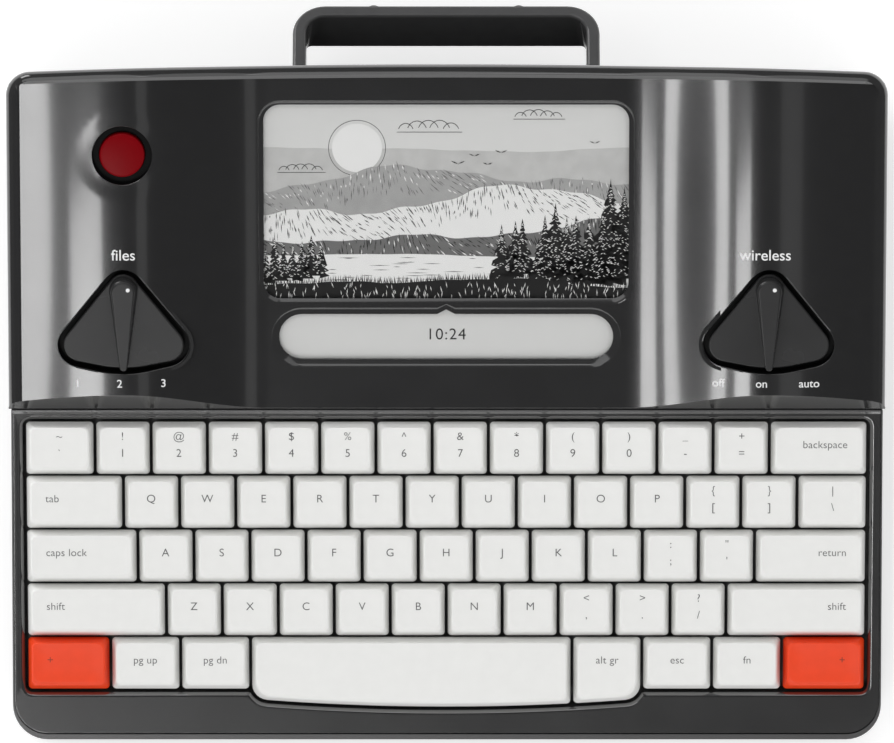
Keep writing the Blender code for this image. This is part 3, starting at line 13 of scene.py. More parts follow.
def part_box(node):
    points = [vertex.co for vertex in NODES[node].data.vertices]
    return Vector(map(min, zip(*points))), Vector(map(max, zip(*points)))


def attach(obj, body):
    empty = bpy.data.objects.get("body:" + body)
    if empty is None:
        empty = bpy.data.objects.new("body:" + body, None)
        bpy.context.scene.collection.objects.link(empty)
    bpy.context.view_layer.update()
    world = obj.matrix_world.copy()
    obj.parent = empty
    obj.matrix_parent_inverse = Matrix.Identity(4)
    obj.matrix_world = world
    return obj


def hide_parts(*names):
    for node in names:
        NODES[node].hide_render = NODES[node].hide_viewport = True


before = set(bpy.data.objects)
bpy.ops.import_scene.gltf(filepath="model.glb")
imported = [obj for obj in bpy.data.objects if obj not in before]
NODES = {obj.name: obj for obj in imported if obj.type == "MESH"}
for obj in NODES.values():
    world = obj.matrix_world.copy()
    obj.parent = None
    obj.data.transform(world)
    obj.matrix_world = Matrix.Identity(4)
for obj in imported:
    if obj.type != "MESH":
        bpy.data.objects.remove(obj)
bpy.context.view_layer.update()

MM = 0.001

# Case, taken from the frame
SHELL_LOW, SHELL_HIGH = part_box("lower_shell")
FRONT_Y = SHELL_LOW.y
REAR_Y = SHELL_HIGH.y
HALF_WIDTH = SHELL_HIGH.x
SHELL_BOTTOM = SHELL_LOW.z
FRONT_HEIGHT = 17.5 * MM
DECK_ANGLE = math.radians(15.5)
FRONT_CORNER_RADIUS = 12.0 * MM
REAR_CORNER_RADIUS = 8.0 * MM
REAR_BOW = 2.75 * MM
REAR_SWELL = 0.35 * MM
SIDE_BASE = 148.37 * MM
SIDE_DRAFT = 0.0165
HEAD_PROUD = 0.3 * MM
HEAD_DRAFT = 0.0062
CASE_SHIFT = 0.25 * MM
FIT_GAP = 0.3 * MM
OVERRUN = 1.0 * MM
SHELL_WALL = 2.6 * MM
SHELL_FLOOR = 2.5 * MM
BILGE_RADIUS = 6.0 * MM
RIM_WIDTH = 0.5 * MM
RIM_FRONT = 1.75 * MM
GROOVE_WIDTH = 0.12 * MM
GROOVE_FRONT = 0.35 * MM
BOW_SLICE = 9.0 * MM
DRAFT_ROUNDS = 3
SLAB_EDGE_STEPS = 6

# Deck round the keys
DECK_THICKNESS = 2.5 * MM
DECK_UNDERLAP = 8.0 * MM
WELL_CLEARANCE = 1.0 * MM
WELL_CORNER_RADIUS = 2.5 * MM
WELL_WALL = 1.6 * MM
WELL_LIP_SHARES = ((0.10, -1.1), (0.45, -0.55), (1.0, -0.15), (1.7, 0.05), (3.0, 0.3))
BAY_INSET_SHARE = 2.2
DECK_EDGE = 0.25 * MM
DECK_TONGUE_DROP = 0.02 * MM
SILL_PROFILE = ((115.45 * MM, 0.02 * MM), (115.50 * MM, 0.07 * MM), (115.95 * MM, 0.44 * MM),
                (116.42 * MM, 0.86 * MM), (116.55 * MM, 0.92 * MM), (117.00 * MM, 0.92 * MM),
                (117.05 * MM, 0.86 * MM), (117.05 * MM, 0.02 * MM))

# Keyboard
KEY_PITCH = 19.05 * MM
CAP_SPACING = 1.0 * MM
CAP_HEIGHT = 6.5 * MM
CAP_SINK = 1.7 * MM
CAP_CORNER_RADIUS = 1.3 * MM
CAP_TOP_RADIUS = 2.4 * MM
CAP_FRONT_INSET = 4.4 * MM
CAP_REAR_INSET = 0.5 * MM
CAP_SIDE_INSET = 1.9 * MM
CAP_TOP_TILT = math.radians(3.0)
CAP_DISH = 0.28 * MM
CAP_WALL = 1.25 * MM
CAP_ROOF = 1.5 * MM
CAP_LEAST_RADIUS = 0.2 * MM
CAP_ARC_STEPS = 6
CAP_CURVE_SHARE = 1.4
CAP_HOLLOW_SHARE = 0.75
CAP_PROFILE_SHARES = ((0.0, 0.0), (0.03, 0.08), (0.60, 0.80), (0.68, 0.885), (0.77, 0.945), (0.87, 0.98),
                      (0.97, 0.997), (1.0, 1.0))
CAP_DISH_SHARES = (0.96, 0.84, 0.62, 0.34)
ROW_SPACING = 0.65 * MM
SPACE_FRONT_EXTRA = 6.4 * MM
SPACE_FRONT_SAG = 1.9 * MM
SPACE_FRONT_STEP = 6.0 * MM
SPACE_CORNER_RADIUS = 5.5 * MM
FRONT_ROW_OFFSET = 26.86 * MM
STEM_SIDE = 4.0 * MM
STEM_BOTTOM = -2.8 * MM
HOUSING_FOOT = 13.8 * MM
HOUSING_TOP = 10.0 * MM
HOUSING_RISE = -3.0 * MM
HOUSING_STEP = 1.0 * MM
HOUSING_EDGE = 0.5 * MM
HOUSING_RADIUS = 0.8 * MM
PLATE_TOP = -8.0 * MM
PLATE_THICKNESS = 1.5 * MM
PLATE_EDGE = 0.3 * MM
WELL_LIP = ((0, PLATE_TOP - OVERRUN), (0, -1.6 * MM)) + tuple(
    (grow * MM, height * MM) for grow, height in WELL_LIP_SHARES)

# Lettering
LEGEND_SIZE = 3.9 * MM
LEGEND_WEIGHT = -0.03 * MM
LEGEND_RISE = 0.5 * MM
LEGEND_LINE = 1.5
LEGEND_SIDE_GAP = 4.6 * MM
WORD_SHARE = 0.94
WORD_SPACING = 1.02
PRINT_THICKNESS = 0.02 * MM
PRINT_LIFT = 0.03 * MM
PRINT_MERGE = 0.0005 * MM

# Head, with places measured up the slope from the deck's front edge
HEAD_FRONT = 117.2 * MM
HEAD_Y = FRONT_Y + HEAD_FRONT * math.cos(DECK_ANGLE)
HEAD_DEPTH = 119.82 * MM
HEAD_STEP = 1.3 * MM
HEAD_WALL = 2.4 * MM
HEAD_EDGE_RADIUS = 3.4 * MM
HEAD_FRONT_LEAN = math.radians(48.0)
HEAD_FRONT_FOOT = 0.5 * MM
HEAD_LEDGE = 12.0 * MM
HEAD_SIDE_DROP = 8.0 * MM
LOBE_INSET = 39.85 * MM
LOBE_CENTRE = HALF_WIDTH - LOBE_INSET
LOBE_INNER_REACH = 49.0 * MM
LOBE_OUTER_REACH = 74.0 * MM
LOBE_HEIGHT = 5.2 * MM
LOBE_SWELL = 0.8 * MM
HEAD_GRID = 2.0 * MM
TOP_TOLERANCE = 0.04 * MM
TOP_FACING = 0.9
SLOPE_REACH = 0.2 * MM

# Screen windows
SCREEN_CENTRE_UP = 189.675 * MM
SCREEN_WIDTH = 122.4 * MM
SCREEN_HEIGHT = 66.85 * MM
SCREEN_CORNER_RADIUS = 5.4 * MM
SCREEN_BEVEL = 1.8 * MM
STATUS_CENTRE_UP = 142.6 * MM
STATUS_WIDTH = 112.2 * MM
STATUS_HEIGHT = 15.2 * MM
STATUS_BEVEL = 2.6 * MM
STATUS_END_SHARE = 0.985
STATUS_TIP_WIDTH = 6.0 * MM
STATUS_TIP_RISE = 1.6 * MM
WINDOW_THICKNESS = 1.1 * MM
PANE_EDGE = 0.08 * MM
PANE_GAP = 0.05 * MM
PANEL_TOP = HEAD_STEP - HEAD_WALL - FIT_GAP
RECESS_EDGE = 0.45 * MM
RECESS_FLARE = 0.15 * MM
RECESS_SHADE_SHARE = 0.6
WINDOW_FLARE = 0.5 * MM
WINDOW_RIM_SHARES = ((0.0, 0.0), (0.55, 0.42), (0.80, 0.70), (0.93, 0.90), (1.0, 1.0))

# Picture on the screen, in millimetres up to its prints
PICTURE_HALF_WIDTH = 63.0
PICTURE_FRONT = 155.0
PICTURE_REAR = 224.4
RIDGE_STEPS = 90
RIDGE_WAVES = ((1.0, 2.1, 1.7), (0.45, 5.3, 3.1), (0.16, 13.0, 5.9), (0.07, 31.0, 2.3))
MOON = (-30.0, 208.0)
CLOUDS = ((-6.0, 213.5, 19.0, 3), (31.0, 218.0, 15.0, 4), (-49.0, 199.5, 14.0, 5))
HILLS = ((196.0, 4.2, 1, "ink_pale", "ink_mid", "paper_white"),
         (188.5, 4.6, 4, "paper_white", "ink_dark", "ink_mid"),
         (179.0, 3.4, 7, "ink_mid", "ink", "paper_white"))
BANK = (160.5, 1.7, 12)
BIRDS = ((4.0, 203.0, 2.2), (9.5, 205.6, 1.7), (14.0, 202.6, 1.5), (18.5, 206.8, 1.9), (50.0, 210.0, 1.6))
PRINT_LAYER = 0.008 * MM
PRINT_LAYER_SHARE = 0.6
STATUS_TEXT_SIZE = 5.6 * MM
STATUS_TEXT_RISE = 0.3 * MM
STATUS_TEXT_WEIGHT = -0.02 * MM
STATUS_TEXT_SPACING = 1.1

# Controls on the head
BUTTON_UP = 207.3 * MM
BUTTON_RADIUS = 7.6 * MM
BUTTON_RING_RADIUS = 10.1 * MM
BUTTON_RING_DEPTH = 2.6 * MM
BUTTON_FLOOR = 2.2 * MM
BUTTON_CROWN = 0.7 * MM
BUTTON_FLANGE_RADIUS = 9.4 * MM
BUTTON_FLANGE = 1.0 * MM
BUTTON_EDGE = 0.7 * MM
BUTTON_BOSS_WALL = 2.4 * MM
BUTTON_SINK = 0.2 * MM
BUTTON_DISH = 0.05 * MM
BUTTON_DISH_INNER = 10.6 * MM
BUTTON_DISH_OUTER = 16.5 * MM
DIAL_APEX_UP = 168.8 * MM
DIAL_CORNER_UP = 137.3 * MM
DIAL_BASE_UP = 132.15 * MM
DIAL_HALF_WIDTH = 24.9 * MM
DIAL_APEX_RADIUS = 5.0 * MM
DIAL_CORNER_RADIUS = 5.8 * MM
DIAL_BASE_RADIUS = 40.0 * MM
DIAL_GROOVE = 1.75 * MM
DIAL_RECESS_FLOOR = HEAD_STEP + LOBE_HEIGHT - 4.0 * MM
DIAL_PLATE_TOP = HEAD_STEP + LOBE_HEIGHT - 1.0 * MM
DIAL_PLATE_EDGE = 0.5 * MM
DIAL_BOSS_WALL = 1.6 * MM
DIAL_BOSS_FLOOR = 1.8 * MM
LEVER_PIVOT_UP = 160.1 * MM
LEVER_LENGTH = 25.9 * MM
LEVER_WIDE_RADIUS = 4.8 * MM
LEVER_TIP_RADIUS = 1.4 * MM
LEVER_HEIGHT = 3.8 * MM
LEVER_LEAST_RADIUS = 0.1 * MM
LEVER_SHARES = ((0.0, 0.0), (0.02, 0.50), (0.06, 0.74), (0.13, 0.90), (0.21, 0.975), (0.30, 1.0))
DOT_PLACE = (1.7 * MM, 1.2 * MM)
DOT_RADIUS = 0.68 * MM
DOT_TOP_RADIUS = 0.62 * MM
DOT_HEIGHT = 0.05 * MM

# Lettering on the head: side, title, shift of its middle in mm, and marks with their offsets in mm
SELECTOR_WORDS = ((-1, "files", 0.2, (("1", -15.6), ("2", -1.4), ("3", 13.4))),
                  (1, "wireless", -1.4, (("off", -17.0), ("on", -2.4), ("auto", 13.7))))
TITLE_UP = 172.6 * MM
TITLE_SIZE = 5.3 * MM
TITLE_WEIGHT = 0.03 * MM
MARK_UP = 127.7 * MM
MARK_SIZE = 3.9 * MM
MARK_WEIGHT = 0.03 * MM

# Carry handle
HANDLE_WIDTH = 104.0 * MM
HANDLE_BAR = 4.5 * MM
HANDLE_STRAP = 20.0 * MM
HANDLE_REACH = 34.0 * MM
HANDLE_CORNER_RADIUS = 11.0 * MM
HANDLE_GRIP_RADIUS = 1.5 * MM
HANDLE_DROOP = math.radians(30.5)
HANDLE_EDGE = 1.2 * MM
HANDLE_TAIL_SHARE = 0.98
PIVOT_Y = REAR_Y - 12.8 * MM
PIVOT_HEIGHT = 50.0 * MM
PIN_RADIUS = 2.5 * MM
PIN_HEAD_RADIUS = 4.2 * MM
PIN_HEAD = 1.5 * MM
PIN_ENTRY = 5.0 * MM
PIN_EDGE = 0.4 * MM
PIN_SLOT = 0.6 * MM
PIN_SLOT_HALF = 0.5 * MM
POCKET_HALF_WIDTH = HANDLE_WIDTH / 2 + 0.8 * MM
POCKET_FRONT_Y = PIVOT_Y - 11.0 * MM
POCKET_TOP = 65.0 * MM
POCKET_BOTTOM = 12.0 * MM
POCKET_WALL = 2.4 * MM
POCKET_SIDE_WALL = 6.4 * MM
PAD_OFFSET = 24.6 * MM
PAD_RADIUS = 2.9 * MM
PAD_SEAT = 0.8 * MM
PAD_PROUD = 1.8 * MM
PAD_RISE = 5.7 * MM
PAD_STEPS = 36

# Socket and feet
SOCKET_WALL = 0.4 * MM
SOCKET_DEPTH = 6.0 * MM
SOCKET_LIP = 0.1 * MM
SOCKET_ROUND_SHARE = 0.8
TONGUE_INSET = 1.6 * MM
TONGUE_HALF = 0.35 * MM
TONGUE_SINK = 1.0 * MM
FOOT_EDGES = (1.0 * MM, 0.4 * MM, 0.25 * MM, 1.0 * MM)
FOOT_ROUND_SHARE = 0.6

# Finishes
NOISE_LOW = 0.3
NOISE_HIGH = 0.7
TONE_WAVES = 220.0
GLOSS_WAVES = 60.0
SMUDGE_WAVES = 90.0
GLASS_TINT = (0.985, 0.985, 0.985, 1)
GLASS_IOR = 1.45

# Camera
CAMERA_LENS = 434.3
CAMERA_SENSOR = 36.0
CAMERA_REACH = 20.0
CAMERA_PLACE = (0.27 * MM, 0.62 * MM, 3.7)

# Light
FLOOR_TONE = 0.85
FLOOR_GLOW = 0.40
FLOOR_ROUGHNESS = 0.9
FLOOR_HALF = 3.0
ROOM_ZENITH = 0.20
ROOM_HORIZON = 1.16
GLOSS_LEVEL = 0.10
PATCH_LEVEL = 0.0
PATCH_ANGLE = math.radians(31.0)
PATCH_INNER = math.radians(20.0)
PATCH_OUTER = math.radians(40.0)
STRIP_DISTANCE = 30.0
STRIP_TWIST = math.radians(9.0)
STRIP_RADIANCE = 8.2

# Fineness of curved forms
ARC_STEPS = 10
TURN_STEPS = 72
MERGE_DISTANCE = 0.02 * MM
SMOOTH_ANGLE = math.radians(28.0)
NORMAL_WEIGHT = 90

DECK = Matrix.Translation((0, FRONT_Y, FRONT_HEIGHT)) @ Matrix.Rotation(DECK_ANGLE, 4, "X")
HANDLE = Matrix.Translation((0, PIVOT_Y, PIVOT_HEIGHT)) @ Matrix.Rotation(-HANDLE_DROOP, 4, "X")
CAP_DEPTH = KEY_PITCH - ROW_SPACING

# Key rows from the rear to the front: node name, width in key pitches, legend
KEY_ROWS = (
    (("backquote", 1.25, "~\n`"), ("1", 1.0, "!\n1"), ("2", 1.0, "@\n2"), ("3", 1.0, "#\n3"),
     ("4", 1.0, "$\n4"), ("5", 1.0, "%\n5"), ("6", 1.0, "^\n6"), ("7", 1.0, "&\n7"),
     ("8", 1.0, "*\n8"), ("9", 1.0, "(\n9"),
     ("0", 1.0, ")\n0"), ("minus", 1.0, "_\n-"), ("equals", 1.0, "+\n="), ("backspace", 1.75, "backspace")),
    (("tab", 1.75, "tab"),) + tuple((n, 1.0, n.upper()) for n in "qwertyuiop")
    + (("bracket_left", 1.0, "{\n["), ("bracket_right", 1.0, "}\n]"), ("backslash", 1.25, "|\n\\")),
    (("caps_lock", 2.0, "caps lock"),) + tuple((n, 1.0, n.upper()) for n in "asdfghjkl")
    + (("semicolon", 1.0, ":\n;"), ("quote", 1.0, "\"\n'"), ("return", 2.0, "return")),
    (("shift_left", 2.5, "shift"),) + tuple((n, 1.0, n.upper()) for n in "zxcvbnm")
    + (("comma", 1.0, "<\n,"), ("period", 1.0, ">\n."), ("slash", 1.0, "?\n/"),
       ("shift_right", 2.5, "shift")),
    (("new_left", 1.5, "+"), ("page_up", 1.25, "pg up"), ("page_down", 1.25, "pg dn"), ("space", 5.75, ""),
     ("alt_gr", 1.25, "alt gr"), ("send", 1.25, "esc"), ("special", 1.25, "fn"), ("new_right", 1.5, "+")),
)
LEFT_LEGENDS = ("tab", "caps_lock", "shift_left", "new_left")
RIGHT_LEGENDS = ("backspace", "return", "shift_right", "new_right")
DEEP_KEYS = {"space": ("left",), "alt_gr": ("right",)}
RED_KEYS = ("new_left", "new_right")
ROW_UNITS = sum(key[1] for key in KEY_ROWS[0])
REAR_ROW_UP = FRONT_ROW_OFFSET + (len(KEY_ROWS) - 1) * KEY_PITCH
WELL_HALF_WIDTH = ROW_UNITS * KEY_PITCH / 2 - CAP_SPACING / 2 + WELL_CLEARANCE
WELL_FRONT_UP = FRONT_ROW_OFFSET - CAP_DEPTH / 2 - WELL_CLEARANCE
WELL_REAR_UP = REAR_ROW_UP + CAP_DEPTH / 2 + WELL_CLEARANCE


# Small helpers for shapes


def mesh_from(name, bm, matrix=None):
    if matrix:
        bmesh.ops.transform(bm, matrix=matrix, verts=bm.verts)
    bmesh.ops.recalc_face_normals(bm, faces=bm.faces)
    mesh = bpy.data.meshes.new(name)
    bm.to_mesh(mesh)
    bm.free()
    return mesh


def add_object(name, data, material=None, matrix=None):
    obj = bpy.data.objects.new(name, data)
    bpy.context.scene.collection.objects.link(obj)
    if material:
        data.materials.append(MATERIALS[material])
    if matrix:
        obj.matrix_world = matrix
    return obj


def settled(obj):
    """The object's mesh with its modifiers applied."""
    bpy.context.view_layer.update()
    graph = bpy.context.evaluated_depsgraph_get()
    return bpy.data.meshes.new_from_object(obj.evaluated_get(graph), depsgraph=graph)


def modify(obj, kind, **settings):
    """Adds a modifier and applies it at once."""
    modifier = obj.modifiers.new(kind.lower(), kind)
    for key, value in settings.items():
        setattr(modifier, key, value)
    mesh = settled(obj)
    obj.modifiers.clear()
    obj.data = mesh


def smooth(obj, angle=SMOOTH_ANGLE):
    """Smooth shading between hard edges, with the normals of wide flats kept true."""
    obj.data.shade_smooth()
    obj.data.set_sharp_from_angle(angle=angle)
    modify(obj, "WEIGHTED_NORMAL", keep_sharp=True, weight=NORMAL_WEIGHT)


def boolean(obj, mesh, operation="DIFFERENCE", matrix=None):
    """Cuts or joins a mesh at once, and deletes the tool."""
    tool = add_object("tool", mesh, None, matrix)
    modify(obj, "BOOLEAN", operation=operation, solver="EXACT", object=tool)
    bpy.data.objects.remove(tool, do_unlink=True)


def bevel(obj, width, segments, angle):
    modify(obj, "BEVEL", width=width, segments=segments, limit_method="ANGLE", angle_limit=angle,
           use_clamp_overlap=True)


def bevel_edges(bm, edges, width, segments):
    bmesh.ops.bevel(bm, geom=edges, offset=width, segments=segments, profile=0.5, affect="EDGES")


def bisect(bm, place, normal, **options):
    return bmesh.ops.bisect_plane(bm, geom=bm.verts[:] + bm.edges[:] + bm.faces[:], plane_co=place,
                                  plane_no=normal, dist=MERGE_DISTANCE, **options)


def quarter(steps):
    """Sine and cosine at even steps of a quarter turn."""
    angles = [math.pi / 2 * i / steps for i in range(steps + 1)]
    return [(math.sin(angle), math.cos(angle)) for angle in angles]


def moved(points, x):
    return [point + Vector((x, 0)) for point in points]


def as_level(height):
    """A height as a function of the place, whether it is given as one or as a number."""
    return height if callable(height) else lambda x, y: height


def rounded_outline(corners, steps=ARC_STEPS):
    """Points round a polygon, anticlockwise, whose corners (x, y, radius) are rounded by arcs."""
    points = []
    count = len(corners)
    for i, (x, y, radius) in enumerate(corners):
        here = Vector((x, y))
        if not radius:
            points.append(here)
            continue
        before = (Vector(corners[i - 1][:2]) - here).normalized()
        after = (Vector(corners[(i + 1) % count][:2]) - here).normalized()
        half = before.angle(after) / 2
        centre = here + (before + after).normalized() * (radius / math.sin(half))
        start = here + before * (radius / math.tan(half)) - centre
        turn_angle = math.pi - 2 * half
        if before.cross(after) > 0:
            turn_angle = -turn_angle
        for step in range(steps + 1):
            points.append(centre + Matrix.Rotation(turn_angle * step / steps, 2) @ start)
    return points


def rectangle(half_width, front, rear, radius):
    return [(-half_width, front, radius), (half_width, front, radius),
            (half_width, rear, radius), (-half_width, rear, radius)]


def add_skin(bm, rings):
    """Faces between rings of points that follow each other, and over both ends."""
    for lower, upper in zip(rings, rings[1:]):
        for i in range(len(lower)):
            bm.faces.new((lower[i - 1], lower[i], upper[i], upper[i - 1]))
    bm.faces.new(rings[0][::-1])
    bm.faces.new(rings[-1])


def loft(name, sections, matrix=None):
    """A solid through sections (points, height) that have equal numbers of points, from the lowest up."""
    bm = bmesh.new()
    rings = []
    for points, height in sections:
        level = as_level(height)
        rings.append([bm.verts.new((x, y, level(x, y))) for x, y in points])
    add_skin(bm, rings)
    return mesh_from(name, bm, matrix)


def box(name, low, high, edge=0, segments=2):
    bm = bmesh.new()
    bmesh.ops.create_cube(bm, size=1)
    bmesh.ops.scale(bm, vec=[b - a for a, b in zip(low, high)], verts=bm.verts)
    bmesh.ops.translate(bm, vec=[(a + b) / 2 for a, b in zip(low, high)], verts=bm.verts)
    if edge:
        bevel_edges(bm, bm.edges[:], edge, segments)
    return mesh_from(name, bm)


def turned(name, profile, steps=TURN_STEPS):
    """A solid of revolution from a profile of (radius, height) points that starts and ends on the axis."""
    bm = bmesh.new()
    verts = [bm.verts.new((radius, 0, height)) for radius, height in profile]
    edges = [bm.edges.new(pair) for pair in zip(verts, verts[1:])]
    bmesh.ops.spin(bm, geom=verts + edges, cent=(0, 0, 0), axis=(0, 0, 1), angle=2 * math.pi, steps=steps,
                   use_merge=True)
    bmesh.ops.remove_doubles(bm, verts=bm.verts, dist=MERGE_DISTANCE)
    return mesh_from(name, bm)


def drum(radius, low, high, steps=TURN_STEPS):
    return turned("drum", [(0, low), (radius, low), (radius, high), (0, high)], steps)


def deck_height(y):
    """Height of the deck's plane over the table, at a distance y from the origin."""
    return FRONT_HEIGHT + (y - FRONT_Y) * math.tan(DECK_ANGLE)


def over_deck(rise=0.0):
    return lambda x, y: deck_height(y) + rise


def lobe_share(x):
    """How far the head's side lobe has risen at x: 1 over the controls and 0 at the screen."""
    offset = abs(x) - LOBE_CENTRE
    reach = LOBE_OUTER_REACH if offset > 0 else LOBE_INNER_REACH
    return math.cos(min(abs(offset) / reach, 1) * math.pi / 2) ** 2


def eased(value, low, high):
    """A smooth step from 0 at low to 1 at high."""
    share = min(max((value - low) / (high - low), 0), 1)
    return share * share * (3 - 2 * share)


def lobe_surface(x, up):
    """Height of the head's top over the deck's plane at x and a distance up the slope."""
    share = (up - HEAD_FRONT) / HEAD_DEPTH
    return HEAD_STEP + (LOBE_HEIGHT + LOBE_SWELL * share * (1 - share)) * lobe_share(x)


def head_surface(x, up):
    """The lobed top with the shallow dish round the button."""
    distance = math.hypot(x + LOBE_CENTRE, up - BUTTON_UP)
    dish = BUTTON_DISH * (1 - eased(distance, BUTTON_DISH_INNER, BUTTON_DISH_OUTER))
    return lobe_surface(x, up) - dish


BUTTON_SURFACE = lobe_surface(LOBE_CENTRE, BUTTON_UP)


# Materials


def fill(tree, node, inputs):
    """Gives a node's inputs their values, or links them from other nodes."""
    for key, value in inputs.items():
        if isinstance(value, bpy.types.NodeSocket):
            tree.links.new(value, node.inputs[key])
        else:
            node.inputs[key].default_value = value
    return node


def add_node(tree, kind, inputs=None, **settings):
    node = tree.nodes.new(f"ShaderNode{kind}")
    for key, value in settings.items():
        setattr(node, key, value)
    return fill(tree, node, inputs or {})


def math_node(tree, operation, first, second):
    return add_node(tree, "Math", {0: first, 1: second}, operation=operation).outputs["Value"]


def new_tree(name):
    material = bpy.data.materials.new(name)
    material.use_nodes = True
    return material, material.node_tree


def add_noise(tree, scale, detail=3.0, stretch=(1, 1, 1)):
    """Noise in the object's own frame. Scale is in waves per metre."""
    place = add_node(tree, "TexCoord").outputs["Object"]
    mapping = add_node(tree, "Mapping", {"Vector": place, "Scale": stretch}).outputs["Vector"]
    return add_node(tree, "TexNoise", {"Vector": mapping, "Scale": scale, "Detail": detail}).outputs["Fac"]


def remap(tree, value, low, high):
    """Stretches the middle of a noise value to the range low to high."""
    return add_node(tree, "MapRange", {"Value": value, "From Min": NOISE_LOW, "From Max": NOISE_HIGH,
                                       "To Min": low, "To Max": high}).outputs["Result"]


def add_bump(tree, value, strength, distance):
    return add_node(tree, "Bump", {"Height": value, "Strength": strength,
                                   "Distance": distance * MM}).outputs["Normal"]


def plastic(name, colour, roughness, spread, grain, depth, coat=0.0, shade=0.06, coat_roughness=0.05,
            coat_ior=1.5, specular=0.5):
    """Moulded plastic: fine grain of a depth in mm, and a slight unevenness in tone and gloss."""
    material, tree = new_tree(name)
    shader = fill(tree, tree.nodes["Principled BSDF"], {
        "Base Color": (*colour, 1), "Roughness": roughness, "Specular IOR Level": specular,
        "Coat Weight": coat, "Coat Roughness": coat_roughness, "Coat IOR": coat_ior})
    dark = (*(c * (1 - shade) for c in colour), 1)
    light = (*(min(c * (1 + shade), 1) for c in colour), 1)
    tone = remap(tree, add_noise(tree, TONE_WAVES, 5.0), 0, 1)
    mix = add_node(tree, "Mix", {"Factor": tone, "A": dark, "B": light}, data_type="RGBA")
    gloss = remap(tree, add_noise(tree, GLOSS_WAVES), roughness - spread, roughness + spread)
    fill(tree, shader, {"Base Color": mix.outputs["Result"], "Roughness": gloss,
                        "Normal": add_bump(tree, add_noise(tree, grain, 2.0), 0.35, depth)})
    return material


def metal(name, colour, roughness, stretch, grain):
    """Brushed metal, with fine streaks where the grain is stretched."""
    material, tree = new_tree(name)
    streaks = add_noise(tree, grain, 4.0, stretch)
    fill(tree, tree.nodes["Principled BSDF"], {
        "Base Color": (*colour, 1), "Metallic": 1.0, "Coat Roughness": 0.05, "Coat IOR": 1.5,
        "Roughness": remap(tree, streaks, roughness * 0.8, roughness * 1.25),
        "Normal": add_bump(tree, streaks, 0.15, 0.02)})
    return material


def glass(name):
    """Clear cover glass: mostly let through, with a mirror gloss that grows at grazing angles."""
    material, tree = new_tree(name)
    tree.nodes.remove(tree.nodes["Principled BSDF"])
    clear = add_node(tree, "BsdfTransparent", {"Color": GLASS_TINT})
    smudge = remap(tree, add_noise(tree, SMUDGE_WAVES, 4.0), 0.03, 0.09)
    gloss = add_node(tree, "BsdfGlossy", {"Roughness": smudge})
    fresnel = add_node(tree, "Fresnel", {"IOR": GLASS_IOR})
    outward = math_node(tree, "SUBTRACT", 1.0, add_node(tree, "NewGeometry").outputs["Backfacing"])
    share = math_node(tree, "MULTIPLY", fresnel.outputs["Fac"], outward)
    mix = add_node(tree, "MixShader", {"Fac": share, 1: clear.outputs["BSDF"], 2: gloss.outputs["BSDF"]})
    fill(tree, tree.nodes["Material Output"], {"Surface": mix.outputs["Shader"]})
    return material


def grey(tone, blue=None):
    return (tone, tone, tone if blue is None else blue)


def printed(name, colour, shade=0.06):
    return plastic(name, colour, 0.62, 0.03, 3200.0, 0.002, shade=shade)


